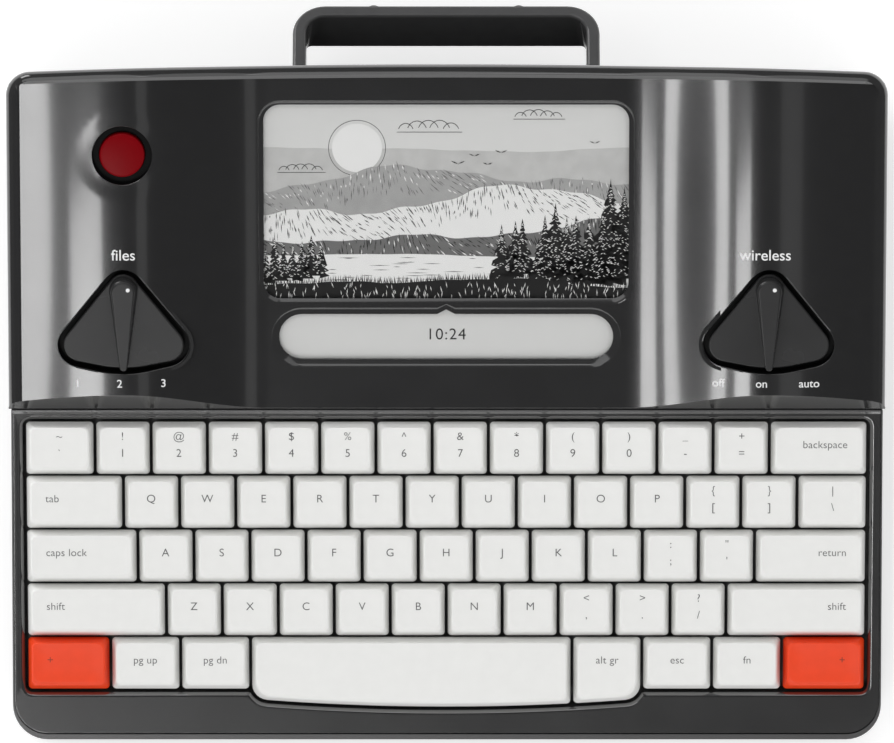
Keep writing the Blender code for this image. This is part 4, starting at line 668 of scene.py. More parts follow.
MATERIALS = {
    "head": plastic("head_gloss", grey(0.023, 0.0235), 0.14, 0.01, 2200.0, 0.001, 1.0, 0.04, 0.06),
    "deck": plastic("deck_black", grey(0.018, 0.0184), 0.24, 0.03, 2600.0, 0.002, 1.0, 0.05, 0.10, 2.3),
    # The deck's black plastic made lighter: painted reflection on the sill's sloping front, on top of the
    # real reflection of its coat.
    "sill_painted_reflection": plastic("deck_black_with_painted_reflection", grey(0.085, 0.086), 0.24, 0.03, 2600.0, 0.002, 1.0, 0.05, 0.10, 2.3),
    "body": plastic("body_paint", grey(0.050, 0.051), 0.34, 0.03, 2400.0, 0.004, 1.0, 0.04, 0.22, 1.55),
    "cap_white": plastic("keycap_white", grey(0.85, 0.832), 0.46, 0.05, 2600.0, 0.008, shade=0.012),
    "cap_red": plastic("keycap_red", (0.90, 0.052, 0.002), 0.46, 0.05, 2600.0, 0.012, shade=0.03),
    "legend": plastic("legend_grey", grey(0.10, 0.103), 0.6, 0.03, 2600.0, 0.004),
    "legend_white": plastic("legend_white", grey(0.86), 0.5, 0.03, 2600.0, 0.004, shade=0.01),
    "legend_red": plastic("legend_on_red", (0.30, 0.040, 0.020), 0.6, 0.03, 2600.0, 0.004),
    "control": plastic("control_black", grey(0.024, 0.0245), 0.26, 0.03, 2200.0, 0.004, shade=0.03),
    # Near-black with little gloss: painted shade on the recess walls and floors round the button and the
    # selectors; also the socket tongue's own black.
    "black_and_recess_shade": plastic("black_and_painted_recess_shade", grey(0.004), 0.42, 0.04, 1800.0, 0.006, specular=0.12),
    "plate": plastic("plate_black", grey(0.10), 0.5, 0.04, 1800.0, 0.006),
    "button": plastic("button_red", (0.185, 0.0004, 0.003), 0.32, 0.02, 2200.0, 0.002, shade=0.03,
                      specular=0.08),
    "paper": printed("paper_grey", (0.72, 0.722, 0.71), 0.01),
    "paper_white": printed("paper_white", grey(0.86, 0.85), 0.01),
    "ink": printed("ink_black", grey(0.012)),
    "ink_dark": printed("ink_dark", grey(0.055)),
    "ink_mid": printed("ink_mid", grey(0.17, 0.168)),
    "ink_pale": printed("ink_pale", grey(0.40, 0.395)),
    "ink_haze": printed("ink_haze", grey(0.56, 0.55)),
    "handle": plastic("handle_black", grey(0.075, 0.076), 0.22, 0.03, 1800.0, 0.004, shade=0.04),
    "rubber": plastic("rubber_black", grey(0.012), 0.78, 0.05, 1200.0, 0.05, shade=0.2),
    "steel": metal("steel", grey(0.46, 0.47), 0.3, (1, 8, 1), 900.0),
    "board": plastic("board_green", (0.02, 0.12, 0.05), 0.45, 0.06, 700.0, 0.03, shade=0.2),
    "battery": metal("battery_silver", grey(0.50, 0.52), 0.42, (1, 4, 1), 400.0),
    "glass": glass("cover_glass"),
}


# Pieces


def dress(obj, body, slot, *replaced):
    """Puts a finished piece on its body, and hides the nodes that it stands for. The slot is not used."""
    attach(obj, body)
    if replaced:
        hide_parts(*replaced)


def add_piece(name, mesh, material, matrix, body, slot, *replaced, angle=SMOOTH_ANGLE):
    """A smoothed piece, dressed."""
    obj = add_object(name, mesh, material, matrix)
    smooth(obj, angle)
    dress(obj, body, slot, *replaced)
    return obj


def slab(inset, front, rear, bottom, top, xs=(), ys=(), front_radius=0, rear_radius=0, rim=0, foot=0, proud=0,
         draft=SIDE_DRAFT):
    """A block with leaning walls inside the case's outline, as a bmesh in the row frame."""
    middle = (front + rear) / 2
    bm = bmesh.new()
    bmesh.ops.create_cube(bm, size=1)
    bmesh.ops.scale(bm, vec=(2 * (HALF_WIDTH - inset), rear - front, 1), verts=bm.verts)
    bmesh.ops.translate(bm, vec=(0, middle, 0), verts=bm.verts)
    for radius, is_rear in ((front_radius, False), (rear_radius, True)):
        if radius > inset:
            upright = [edge for edge in bm.edges
                       if edge.verts[0].co.xy == edge.verts[1].co.xy
                       and (edge.verts[0].co.y > middle) == is_rear]
            bevel_edges(bm, upright, radius - inset, ARC_STEPS)
    for places, axis in ((xs, (1, 0, 0)), (ys, (0, 1, 0))):
        for place in places:
            bisect(bm, Vector(axis) * place, axis)
    bow = REAR_BOW if rear > REAR_Y - REAR_CORNER_RADIUS else 0
    flat_share = math.sqrt(0.5)
    rims = [[edge for edge in bm.edges
             if sum(sign * face.normal.z > flat_share for face in edge.link_faces) == 1] for sign in (1, -1)]
    if rim:
        rims[0] = [edge for edge in rims[0] if max(vert.co.y for vert in edge.verts) > front + OVERRUN]
    levels = (as_level(bottom), as_level(top))
    for vert in bm.verts:
        x, y = vert.co.x, vert.co.y
        height = levels[vert.co.z > 0]
        if y > middle and bow:
            y += (REAR_SWELL - bow * (x / HALF_WIDTH) ** 2) * ((y - middle) / (rear - middle))
        place = x + CASE_SHIFT
        for _ in range(DRAFT_ROUNDS):
            z = height(place, y)
            place = CASE_SHIFT + x * (SIDE_BASE + proud - draft * z) / HALF_WIDTH
        vert.co = (place, y, z)
    for edges, radius in zip(rims, (rim, foot)):
        if radius:
            bevel_edges(bm, edges, radius, SLAB_EDGE_STEPS)
    return bm


def bow_slices():
    count = int((HALF_WIDTH - 2 * FRONT_CORNER_RADIUS) / BOW_SLICE)
    return [BOW_SLICE * i for i in range(-count, count + 1)]


def make_shell():
    """The tray: a wedge with soft lower edges, a rim round the deck, and the handle's pocket at the rear."""
    outline = {"xs": bow_slices(), "front_radius": FRONT_CORNER_RADIUS, "rear_radius": REAR_CORNER_RADIUS}
    bm = slab(0, FRONT_Y, REAR_Y, SHELL_BOTTOM, over_deck(), foot=BILGE_RADIUS, **outline)
    shell = add_object("tray", mesh_from("tray", bm), "body")
    floor_top = SHELL_BOTTOM + SHELL_FLOOR
    above = over_deck(OVERRUN)
    cuts = (slab(SHELL_WALL, FRONT_Y + SHELL_WALL, REAR_Y - SHELL_WALL, floor_top, above, **outline),
            slab(RIM_WIDTH, FRONT_Y + RIM_FRONT, REAR_Y - RIM_WIDTH,
                 over_deck(-(DECK_THICKNESS + FIT_GAP) / math.cos(DECK_ANGLE)), above, **outline),
            slab(-OVERRUN, HEAD_Y - FIT_GAP, REAR_Y + REAR_BOW + OVERRUN,
                 over_deck(-HEAD_SIDE_DROP / math.cos(DECK_ANGLE)), above))
    for cut in cuts:
        boolean(shell, mesh_from("cut", cut))
    outer = POCKET_HALF_WIDTH + POCKET_SIDE_WALL
    boolean(shell, box("block", (-outer, POCKET_FRONT_Y - POCKET_WALL, floor_top - OVERRUN),
                       (outer, REAR_Y - REAR_BOW - SHELL_WALL / 2, POCKET_TOP + POCKET_WALL)), "UNION")
    boolean(shell, box("pocket", (-POCKET_HALF_WIDTH, POCKET_FRONT_Y, POCKET_BOTTOM),
                       (POCKET_HALF_WIDTH, REAR_Y + OVERRUN, POCKET_TOP)))
    reach = POCKET_HALF_WIDTH + PIN_ENTRY + FIT_GAP
    boolean(shell, drum(PIN_RADIUS + FIT_GAP, -reach, reach),
            matrix=Matrix.Translation((0, PIVOT_Y, PIVOT_HEIGHT)) @ Matrix.Rotation(math.pi / 2, 4, "Y"))
    low, _, matrix = socket_place()
    mouth = socket_ring(FIT_GAP, SOCKET_ROUND_SHARE)
    boolean(shell, loft("socket_hole", [(mouth, -REAR_Y - OVERRUN), (mouth, -low.y + OVERRUN)], matrix))
    smooth(shell)
    dress(shell, "case", "body_metal", "lower_shell")


def socket_place():
    """The socket's lowest and highest corners, and a frame that stands across its mouth."""
    low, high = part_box("usb_socket")
    middle = (low + high) / 2
    return low, high, (Matrix.Translation((middle.x, 0, middle.z)) @ Matrix.Rotation(math.pi / 2, 4, "X"))


def socket_ring(grow, share=1.0):
    """The socket's outline in that frame, grown by a margin, of which its corners' radius takes a share."""
    low, high, _ = socket_place()
    half_x, half_z = (high.x - low.x) / 2, (high.z - low.z) / 2
    return rounded_outline(rectangle(half_x + grow, -half_z - grow, half_z + grow,
                                     half_z * SOCKET_ROUND_SHARE + grow * share))


def make_deck():
    """The frame round the keys, with a soft inner lip that slopes down to them."""
    bm = slab(RIM_WIDTH + GROOVE_WIDTH, FRONT_Y + RIM_FRONT + GROOVE_FRONT, HEAD_Y - FIT_GAP,
              over_deck(-DECK_THICKNESS / math.cos(DECK_ANGLE)), over_deck(),
              front_radius=FRONT_CORNER_RADIUS)
    deck = add_object("deck_frame", mesh_from("deck_frame", bm), "deck")
    bevel(deck, DECK_EDGE, 2, math.radians(30.0))
    tongue = HALF_WIDTH - SHELL_WALL - 2 * FIT_GAP
    boolean(deck, box("tongue", (-tongue, HEAD_FRONT - DECK_UNDERLAP, -DECK_THICKNESS),
                      (tongue, HEAD_FRONT + DECK_UNDERLAP, -DECK_TONGUE_DROP)), "UNION", DECK)
    for corners in well_sections(WELL_WALL):
        outline = rounded_outline(corners)
        wall = loft("wall", [(outline, PLATE_TOP + FIT_GAP), (outline, -DECK_THICKNESS / 2)])
        boolean(deck, wall, "UNION", DECK)
    for index in range(2):
        sections = [(rounded_outline(well_sections(grow)[index]), height) for grow, height in WELL_LIP]
        boolean(deck, loft("opening", sections), matrix=DECK)
    smooth(deck)
    dress(deck, "case", "deck_black", "top_deck")


def make_sill():
    """The raised strip that the head stands on, with a sloping front towards the keys. It is the deck's black
    plastic in a lighter grey, as painted reflection.
    """
    half = HALF_WIDTH - RIM_WIDTH - GROOVE_WIDTH - OVERRUN
    bm = bmesh.new()
    add_skin(bm, [[bm.verts.new((x, y, z)) for y, z in SILL_PROFILE] for x in (-half, half)])
    add_piece("head_sill", mesh_from("head_sill", bm), "sill_painted_reflection", DECK, "case", "deck_black",
              angle=math.radians(40.0))


def spread(low, high, count=None):
    count = count or max(2, round((high - low) / SPACE_FRONT_STEP))
    return [low + (high - low) * i / count for i in range(count + 1)]


def space_front(x):
    """How far the space bar's front edge reaches out from the row's front at x."""
    half_width = next(key[1] for key in KEY_ROWS[-1] if key[0] == "space") * KEY_PITCH / 2
    return SPACE_FRONT_EXTRA - SPACE_FRONT_SAG * (x / half_width) ** 2


def key_places():
    """(name, centre x, centre y up the deck, width in pitches, legend) of all keys."""
    for row, keys in enumerate(KEY_ROWS):
        left = -ROW_UNITS * KEY_PITCH / 2
        for name, units, legend in keys:
            yield name, left + units * KEY_PITCH / 2, REAR_ROW_UP - row * KEY_PITCH, units, legend
            left += units * KEY_PITCH


def well_sections(grow):
    """Corners of the main key well and of its bay for the space bar, grown by a margin."""
    spans = [(x - units * KEY_PITCH / 2, x + units * KEY_PITCH / 2)
             for name, x, _, units, _ in key_places() if name in DEEP_KEYS]
    left = spans[0][0] + CAP_SPACING / 2 - WELL_CLEARANCE
    right = spans[-1][1] - CAP_SPACING / 2 + WELL_CLEARANCE
    front = WELL_FRONT_UP - grow
    well = rectangle(WELL_HALF_WIDTH + grow, front, WELL_REAR_UP + grow, WELL_CORNER_RADIUS + grow)
    step = BAY_INSET_SHARE * SPACE_CORNER_RADIUS
    radius = SPACE_CORNER_RADIUS + WELL_CLEARANCE + grow
    bay = [(left - grow, front - space_front(left), radius)]
    bay += [(x, front - space_front(x), 0) for x in spread(left + step, right - step)]
    bay += [(right + grow, front - space_front(right), radius),
            (right + grow, WELL_FRONT_UP + CAP_DEPTH / 2, 0), (left - grow, WELL_FRONT_UP + CAP_DEPTH / 2, 0)]
    return well, bay


def cap_outline(half_width, inset_share, wall, centre_x, round_corners):
    """A keycap's outline at one level, pulled in by its share of the insets and by a wall."""
    side = half_width - CAP_SIDE_INSET * inset_share - wall
    front = -CAP_DEPTH / 2 + CAP_FRONT_INSET * inset_share + wall
    rear = CAP_DEPTH / 2 - CAP_REAR_INSET * inset_share - wall
    radius = CAP_CORNER_RADIUS + (CAP_TOP_RADIUS - CAP_CORNER_RADIUS) * inset_share - wall
    radius = max(radius, CAP_LEAST_RADIUS)
    if not round_corners:
        return rounded_outline(rectangle(side, front, rear, radius), CAP_ARC_STEPS)
    ends = [SPACE_CORNER_RADIUS - wall if label in round_corners else radius for label in ("left", "right")]
    low = -side + CAP_CURVE_SHARE * ends[0]
    high = side - CAP_CURVE_SHARE * ends[1]
    count = max(2, round(2 * half_width / SPACE_FRONT_STEP))
    corners = [(-side, front - space_front(centre_x - side), ends[0])]
    corners += [(x, front - space_front(centre_x + x), 0) for x in spread(low, high, count)]
    corners += [(side, front - space_front(centre_x + side), ends[1]), (side, rear, radius),
                (-side, rear, radius)]
    return rounded_outline(corners, CAP_ARC_STEPS)


def cap_height(y, share=1.0):
    """A level of the cap, whose top leans back towards the level of the table."""
    return share * (CAP_HEIGHT - y * math.tan(CAP_TOP_TILT))


def cap_top_height(half_width, reach, x, y):
    """Height of the dished top at a place on a cap whose front edge reaches out by a distance."""
    front = -CAP_DEPTH / 2 + CAP_FRONT_INSET - reach
    rear = CAP_DEPTH / 2 - CAP_REAR_INSET
    radius = (rear - front) / 2
    span = max(half_width - CAP_SIDE_INSET - radius, 0)
    share = max((abs(x) - span) / radius, abs(y - (front + rear) / 2) / radius, CAP_DISH_SHARES[-1])
    return cap_height(y) - CAP_DISH * (1 - min(share, 1) ** 2)


def make_cap_mesh(label, units, centre_x, round_corners):
    """One keycap: a hollow shell with softened shoulders, a dished top and a post that enters its switch."""
    half_width = units * KEY_PITCH / 2 - CAP_SPACING / 2
    sections = [(cap_outline(half_width, inset, 0, centre_x, round_corners),
                 lambda x, y, share=height: cap_height(y, share)) for inset, height in CAP_PROFILE_SHARES]
    rim = sections[-1][0]
    front = min(point.y for point in rim)
    rear = max(point.y for point in rim)
    span = half_width - CAP_SIDE_INSET - (rear - front) / 2
    for share in CAP_DISH_SHARES:
        ring = []
        for point in rim:
            spine = Vector((max(-span, min(span, point.x)) if span > 0 else 0, (front + rear) / 2))
            ring.append(spine + (point - spine) * share)
        sections.append((ring, lambda x, y, s=share: cap_height(y) - CAP_DISH * (1 - s * s)))
    cap = add_object(f"cap_{label}", loft(f"cap_{label}", sections))
    roof = CAP_HEIGHT - CAP_ROOF
    levels = ((0, -OVERRUN), (0, 0), (CAP_HOLLOW_SHARE * roof / CAP_HEIGHT, roof))
    boolean(cap, loft("hollow", [(cap_outline(half_width, inset, CAP_WALL, centre_x, round_corners), height)
                                 for inset, height in levels]))
    boolean(cap, box("stem", (-STEM_SIDE / 2, -STEM_SIDE / 2, STEM_BOTTOM),
                     (STEM_SIDE / 2, STEM_SIDE / 2, roof + OVERRUN / 2)), "UNION")
    smooth(cap, math.radians(50.0))
    mesh = cap.data
    bpy.data.objects.remove(cap, do_unlink=True)
    return mesh


def lettering(name, text, material, size, x, y, surface, align="CENTER", weight=0.0, spacing=1.0, line=1.0):
    """Printed lettering as a thin mesh that follows a surface, given as its height at x and y."""
    curve = bpy.data.curves.new(name, "FONT")
    settings = {"body": text, "size": size, "align_x": align, "align_y": "CENTER", "offset": weight,
                "extrude": PRINT_THICKNESS / 2, "space_character": spacing, "space_line": line}
    for key, value in settings.items():
        setattr(curve, key, value)
    source = add_object(name, curve)
    bm = bmesh.new()
    bm.from_mesh(settled(source))
    bpy.data.objects.remove(source, do_unlink=True)
    bmesh.ops.remove_doubles(bm, verts=bm.verts, dist=PRINT_MERGE)
    for vert in bm.verts:
        px, py = x + vert.co.x, y + vert.co.y
        vert.co = (px, py, surface(px, py) + vert.co.z + PRINT_LIFT)
    return add_object(name, mesh_from(name, bm), material)


def make_legend(name, text, key_name, units, centre_x, material):
    """A cap's lettering, in the upper part of its top or at its outer side."""
    half_width = units * KEY_PITCH / 2 - CAP_SPACING / 2
    reach = space_front(centre_x - half_width + CAP_SIDE_INSET) if key_name in DEEP_KEYS else 0
    wide = len(text) > 1 and "\n" not in text
    align = "LEFT" if key_name in LEFT_LEGENDS else "RIGHT" if key_name in RIGHT_LEGENDS else "CENTER"
    x = {"LEFT": -1, "CENTER": 0, "RIGHT": 1}[align] * (half_width - CAP_SIDE_INSET - LEGEND_SIDE_GAP)
    return lettering(name, text, material, LEGEND_SIZE * (WORD_SHARE if wide else 1), x,
                     CAP_FRONT_INSET / 2 + LEGEND_RISE,
                     lambda px, py: cap_top_height(half_width, reach, px, py), align,
                     LEGEND_WEIGHT, WORD_SPACING if wide else 1.0, LEGEND_LINE)


def make_keyboard():
    caps = {}
    for name, x, y, units, legend in key_places():
        red = name in RED_KEYS
        label = name if name in DEEP_KEYS else f"{units:g}"
        if (label, red) not in caps:
            if (label, not red) in caps:
                mesh = caps[label, not red].copy()
                mesh.materials.clear()
            else:
                mesh = make_cap_mesh(label, units, x, DEEP_KEYS.get(name, ()))
            mesh.materials.append(MATERIALS["cap_red" if red else "cap_white"])
            caps[label, red] = mesh
        place = DECK @ Matrix.Translation((x, y, -CAP_SINK))
        cap = add_object(f"keycap_{name}", caps[label, red], None, place)
        moving = f"key_{name}" in NODES
        dress(cap, f"cap_{name}" if moving else "case", "keycap_red" if red else "keycap_white",
              f"key_{name}" if moving else "key_plate")
        if legend:
            text = make_legend(f"legend_{name}", legend, name, units, x, "legend_red" if red else "legend")
            text.parent = cap


def make_key_plate():
    """The plate under the keys, with a bevelled housing at each switch."""
    foot = PLATE_TOP - PLATE_THICKNESS
    half_width = WELL_HALF_WIDTH + WELL_WALL
    bm = bmesh.new()
    bm.from_mesh(box("plate", (-half_width, WELL_FRONT_UP - SPACE_FRONT_EXTRA - WELL_WALL, foot),
                     (half_width, WELL_REAR_UP + WELL_WALL, PLATE_TOP), PLATE_EDGE, 1))
    half_foot, half_top = HOUSING_FOOT / 2, HOUSING_TOP / 2
    levels = ((half_foot, PLATE_TOP - PLATE_THICKNESS / 2), (half_foot, PLATE_TOP + HOUSING_STEP),
              (half_top, HOUSING_RISE - HOUSING_EDGE), (half_top - HOUSING_EDGE, HOUSING_RISE))
    housing = loft("housing", [(rounded_outline(rectangle(half, -half, half, HOUSING_RADIUS), 3), height)
                               for half, height in levels])
    for _, x, y, _, _ in key_places():
        start = len(bm.verts)
        bm.from_mesh(housing)
        bm.verts.ensure_lookup_table()
        bmesh.ops.translate(bm, vec=(x, y, 0), verts=bm.verts[start:])
    add_piece("switch_plate", mesh_from("switch_plate", bm, DECK), "plate", None, "case", "key_plate",
              "key_plate")


# Head


def grown_corners(corners, grow):
    """Corners (x, y, radius) of a polygon whose sides and arcs have all moved outwards equally."""
    grown = []
    for i, (x, y, radius) in enumerate(corners):
        here = Vector((x, y))
        sides = (here - Vector(corners[i - 1][:2]), Vector(corners[(i + 1) % len(corners)][:2]) - here)
        normals = [Vector((side.y, -side.x)).normalized() for side in sides]
        shift = (normals[0] + normals[1]) * (grow / (1 + normals[0].dot(normals[1])))
        grown.append((x + shift.x, y + shift.y, radius + grow))
    return grown


def dial_corners(grow):
    """A triangle with its apex to the rear and a slightly convex base."""
    return grown_corners([(0, DIAL_BASE_UP, DIAL_BASE_RADIUS),
                          (DIAL_HALF_WIDTH, DIAL_CORNER_UP, DIAL_CORNER_RADIUS),
                          (0, DIAL_APEX_UP, DIAL_APEX_RADIUS),
                          (-DIAL_HALF_WIDTH, DIAL_CORNER_UP, DIAL_CORNER_RADIUS)], grow)


def screen_corners(grow):
    return rectangle(SCREEN_WIDTH / 2 + grow, SCREEN_CENTRE_UP - SCREEN_HEIGHT / 2 - grow,
                     SCREEN_CENTRE_UP + SCREEN_HEIGHT / 2 + grow, SCREEN_CORNER_RADIUS + grow)


def status_corners(grow):
    """A pill with a small peak in the middle of its rear edge."""
    half_height = STATUS_HEIGHT / 2 + grow
    rear = STATUS_CENTRE_UP + half_height
    corners = rectangle(STATUS_WIDTH / 2 + grow, STATUS_CENTRE_UP - half_height, rear,
                        half_height * STATUS_END_SHARE)
    peak = [(STATUS_TIP_WIDTH / 2, rear, 0), (0, rear + STATUS_TIP_RISE, 0), (-STATUS_TIP_WIDTH / 2, rear, 0)]
    return corners[:3] + peak + corners[3:]


def make_head():
    """The glossy cover: two lobes that rise from a flat middle, a leaning front, windows and recesses."""
    margin = HEAD_EDGE_RADIUS + OVERRUN / 2
    count_x = int((HALF_WIDTH - margin) / HEAD_GRID)
    xs = [HEAD_GRID * i for i in range(-count_x, count_x + 1)]
    count_y = int((REAR_Y - margin - HEAD_Y - OVERRUN) / HEAD_GRID)
    ys = [HEAD_Y + OVERRUN + HEAD_GRID * i for i in range(count_y + 1)]
    cos = math.cos(DECK_ANGLE)

    def top(x, y, drop=0):
        rise = head_surface(x, (y - FRONT_Y) / cos + HEAD_STEP * math.tan(DECK_ANGLE))
        return deck_height(y) + (rise - drop) / cos

    bm = slab(0, HEAD_Y, REAR_Y, over_deck((FIT_GAP - HEAD_SIDE_DROP) / cos), top, xs, ys,
              rear_radius=REAR_CORNER_RADIUS, rim=HEAD_EDGE_RADIUS, proud=HEAD_PROUD, draft=HEAD_DRAFT)
    lean = HEAD_FRONT_LEAN - DECK_ANGLE
    foot = Vector((0, HEAD_Y, deck_height(HEAD_Y) + (FIT_GAP + HEAD_FRONT_FOOT) / cos))
    wall = bisect(bm, foot, (0, -math.cos(lean), math.sin(lean)), clear_outer=True)
    edges = [item for item in wall["geom_cut"] if isinstance(item, bmesh.types.BMEdge)]
    bmesh.ops.holes_fill(bm, edges=edges, sides=0)
    head = add_object("head_shell", mesh_from("head_shell", bm, DECK.inverted()), "head")
    inset = SHELL_WALL + FIT_GAP
    bm = slab(inset, HEAD_Y + HEAD_LEDGE * cos, REAR_Y - inset, over_deck(-(HEAD_SIDE_DROP + OVERRUN) / cos),
              lambda x, y: top(x, y, HEAD_WALL), xs[::3], rear_radius=REAR_CORNER_RADIUS)
    boolean(head, mesh_from("hollow", bm, DECK.inverted()))
    notch = HALF_WIDTH - SHELL_WALL
    boolean(head, box("notch", (-notch, HEAD_FRONT - OVERRUN - HEAD_SIDE_DROP, -HEAD_SIDE_DROP - OVERRUN),
                      (notch, HEAD_FRONT + HEAD_LEDGE + OVERRUN, FIT_GAP)))
    boss = rounded_outline(dial_corners(DIAL_GROOVE + DIAL_BOSS_WALL))
    roof = HEAD_STEP + LOBE_HEIGHT - HEAD_WALL / 2
    for side in (-1, 1):
        place = Matrix.Translation((side * LOBE_CENTRE, 0, 0))
        levels = [(boss, DIAL_RECESS_FLOOR - DIAL_BOSS_FLOOR), (boss, roof)]
        boolean(head, loft("boss", levels), "UNION", place)
        boolean(head, dial_recess(side * LOBE_CENTRE))
    add_button_seat(head)
    paint_recess_shade(head)
    for corners, slope in ((screen_corners, SCREEN_BEVEL), (status_corners, STATUS_BEVEL)):
        cut_window(head, corners, slope)
    smooth(head)
    set_top_normals(head)
    head.matrix_world = DECK
    dress(head, "case", "head_gloss", "head_cover")


def dial_recess(shift_x):
    """A selector's recess, whose rounded edge follows the lobe."""

    def outline(grow):
        return moved(rounded_outline(dial_corners(DIAL_GROOVE + grow)), shift_x)

    sections = [(outline(0), DIAL_RECESS_FLOOR)]
    for sine, cosine in quarter(4):
        drop = RECESS_EDGE * (1 - sine)
        sections.append((outline(RECESS_EDGE * (1 - cosine)), lambda x, y, d=drop: head_surface(x, y) - d))
    sections.append((outline(RECESS_EDGE + RECESS_FLARE), lambda x, y: head_surface(x, y) + OVERRUN))
    return loft("recess", sections)


def set_top_normals(head):
    """Shades the lobed top by the slope of its own formula, so that reflections show no facets."""
    mesh = head.data
    normals = [Vector(corner.vector) for corner in mesh.corner_normals]
    reach = SLOPE_REACH
    for face in mesh.polygons:
        x, y, z = face.center
        if face.normal.z < TOP_FACING or abs(z - head_surface(x, y)) > TOP_TOLERANCE:
            continue
        for index in face.loop_indices:
            x, y, z = mesh.vertices[mesh.loops[index].vertex_index].co
            if abs(z - head_surface(x, y)) > TOP_TOLERANCE:
                continue
            slope_x = (head_surface(x + reach, y) - head_surface(x - reach, y)) / (2 * reach)
            slope_y = (head_surface(x, y + reach) - head_surface(x, y - reach)) / (2 * reach)
            normals[index] = Vector((-slope_x, -slope_y, 1)).normalized()
    mesh.normals_split_custom_set(normals)


def is_inside(outline, x, y):
    """Whether a point lies inside a closed outline."""
    odd = False
    for a, b in zip(outline, outline[1:] + outline[:1]):
        if (a[1] > y) != (b[1] > y) and x < (b[0] - a[0]) * (y - a[1]) / (b[1] - a[1]) + a[0]:
            odd = not odd
    return odd


def paint_recess_shade(head):
    """Paints the walls and floors of the button's and the selectors' recesses near-black: painted shade in
    these recesses.
    """
    head.data.materials.append(MATERIALS["black_and_recess_shade"])
    dial = [tuple(point) for point in rounded_outline(dial_corners(DIAL_GROOVE + MERGE_DISTANCE))]
    for face in head.data.polygons:
        x, y, z = face.center
        near_button = math.hypot(x + LOBE_CENTRE, y - BUTTON_UP) < BUTTON_RING_RADIUS + MERGE_DISTANCE
        in_dial = is_inside(dial, abs(x) - LOBE_CENTRE, y) or is_inside(dial, LOBE_CENTRE - abs(x), y)
        # Faces below the recess edge get painted shade.
        if (near_button or in_dial) and z < head_surface(x, y) - RECESS_EDGE * RECESS_SHADE_SHARE:
            face.material_index = 1


def add_button_seat(head):
    """A round recess with a soft edge, and the bore that the button slides in."""
    surface = BUTTON_SURFACE - BUTTON_DISH
    floor = BUTTON_SURFACE - BUTTON_RING_DEPTH
    place = Matrix.Translation((-LOBE_CENTRE, BUTTON_UP, 0))
    boolean(head, drum(BUTTON_RING_RADIUS + BUTTON_BOSS_WALL, floor - BUTTON_FLOOR, surface - HEAD_WALL / 2),
            "UNION", place)
    edge = RECESS_EDGE
    rounding = [(BUTTON_RING_RADIUS + edge * (1 - cosine), surface - edge * (1 - sine))
                for sine, cosine in quarter(5)]
    boolean(head, turned("ring", [(0, floor), (BUTTON_RING_RADIUS, floor), *rounding,
                                  (BUTTON_RING_RADIUS + edge, surface + OVERRUN), (0, surface + OVERRUN)]),
            matrix=place)
    bore = drum(BUTTON_RADIUS + FIT_GAP, floor - BUTTON_FLOOR - OVERRUN, floor + OVERRUN)
    boolean(head, bore, matrix=place)


def cut_window(head, corners, slope):
    """An opening with a sloping rim that rolls over into the head's surface."""
    rim_foot = PANEL_TOP + FIT_GAP + WINDOW_THICKNESS
    levels = [(0, PANEL_TOP - OVERRUN)]
    levels += [(slope * out, rim_foot + (HEAD_STEP - rim_foot) * up) for out, up in WINDOW_RIM_SHARES]
    levels += [(slope + WINDOW_FLARE, HEAD_STEP + OVERRUN)]
    sections = [(rounded_outline(corners(FIT_GAP + grow)), height) for grow, height in levels]
    boolean(head, loft("window", sections))


def make_windows():
    low = PANEL_TOP + FIT_GAP
    rim = FIT_GAP - PANE_GAP
    top = low + WINDOW_THICKNESS
    levels = ((rim, low), (rim, top - PANE_EDGE), (rim - PANE_EDGE, top))
    for name, corners, node in (("screen_glass", screen_corners, "main_window"),
                                ("status_glass", status_corners, "status_window")):
        mesh = loft(name, [(rounded_outline(corners(grow)), height) for grow, height in levels])
        add_piece(name, mesh, "glass", DECK, "case", "glass_clear", node)


def make_button():
    top = BUTTON_SURFACE - BUTTON_SINK
    flange_top = BUTTON_SURFACE - BUTTON_RING_DEPTH - BUTTON_FLOOR - FIT_GAP
    drop = BUTTON_CROWN / 2
    crown = [(BUTTON_RADIUS * share, top - drop * share * share) for share in (0, 0.25, 0.5, 0.75)]
    rounding = [(BUTTON_RADIUS - BUTTON_EDGE * (1 - sine), top - drop - BUTTON_EDGE * (1 - cosine))
                for sine, cosine in quarter(6)]
    flange = [(BUTTON_RADIUS, flange_top), (BUTTON_FLANGE_RADIUS, flange_top),
              (BUTTON_FLANGE_RADIUS, flange_top - BUTTON_FLANGE), (0, flange_top - BUTTON_FLANGE)]
    add_piece("red_button", turned("red_button", crown + rounding + flange), "button",
              DECK @ Matrix.Translation((-LOBE_CENTRE, BUTTON_UP, 0)), "button", "button_red", "power_button")


def lever_outline(wide_radius, tip_radius):
    """A teardrop with its wide end on the pivot and its tip towards the typist."""
    tip_radius = max(tip_radius, LEVER_LEAST_RADIUS)
    lean = math.asin((wide_radius - tip_radius) / LEVER_LENGTH)
    points = []
    for centre, radius, start, sweep in ((0, wide_radius, -lean, math.pi + 2 * lean),
                                         (-LEVER_LENGTH, tip_radius, math.pi + lean, math.pi - 2 * lean)):
        for step in range(2 * ARC_STEPS + 1):
            angle = start + sweep * step / (2 * ARC_STEPS)
            points.append((radius * math.cos(angle), centre + radius * math.sin(angle)))
    return points


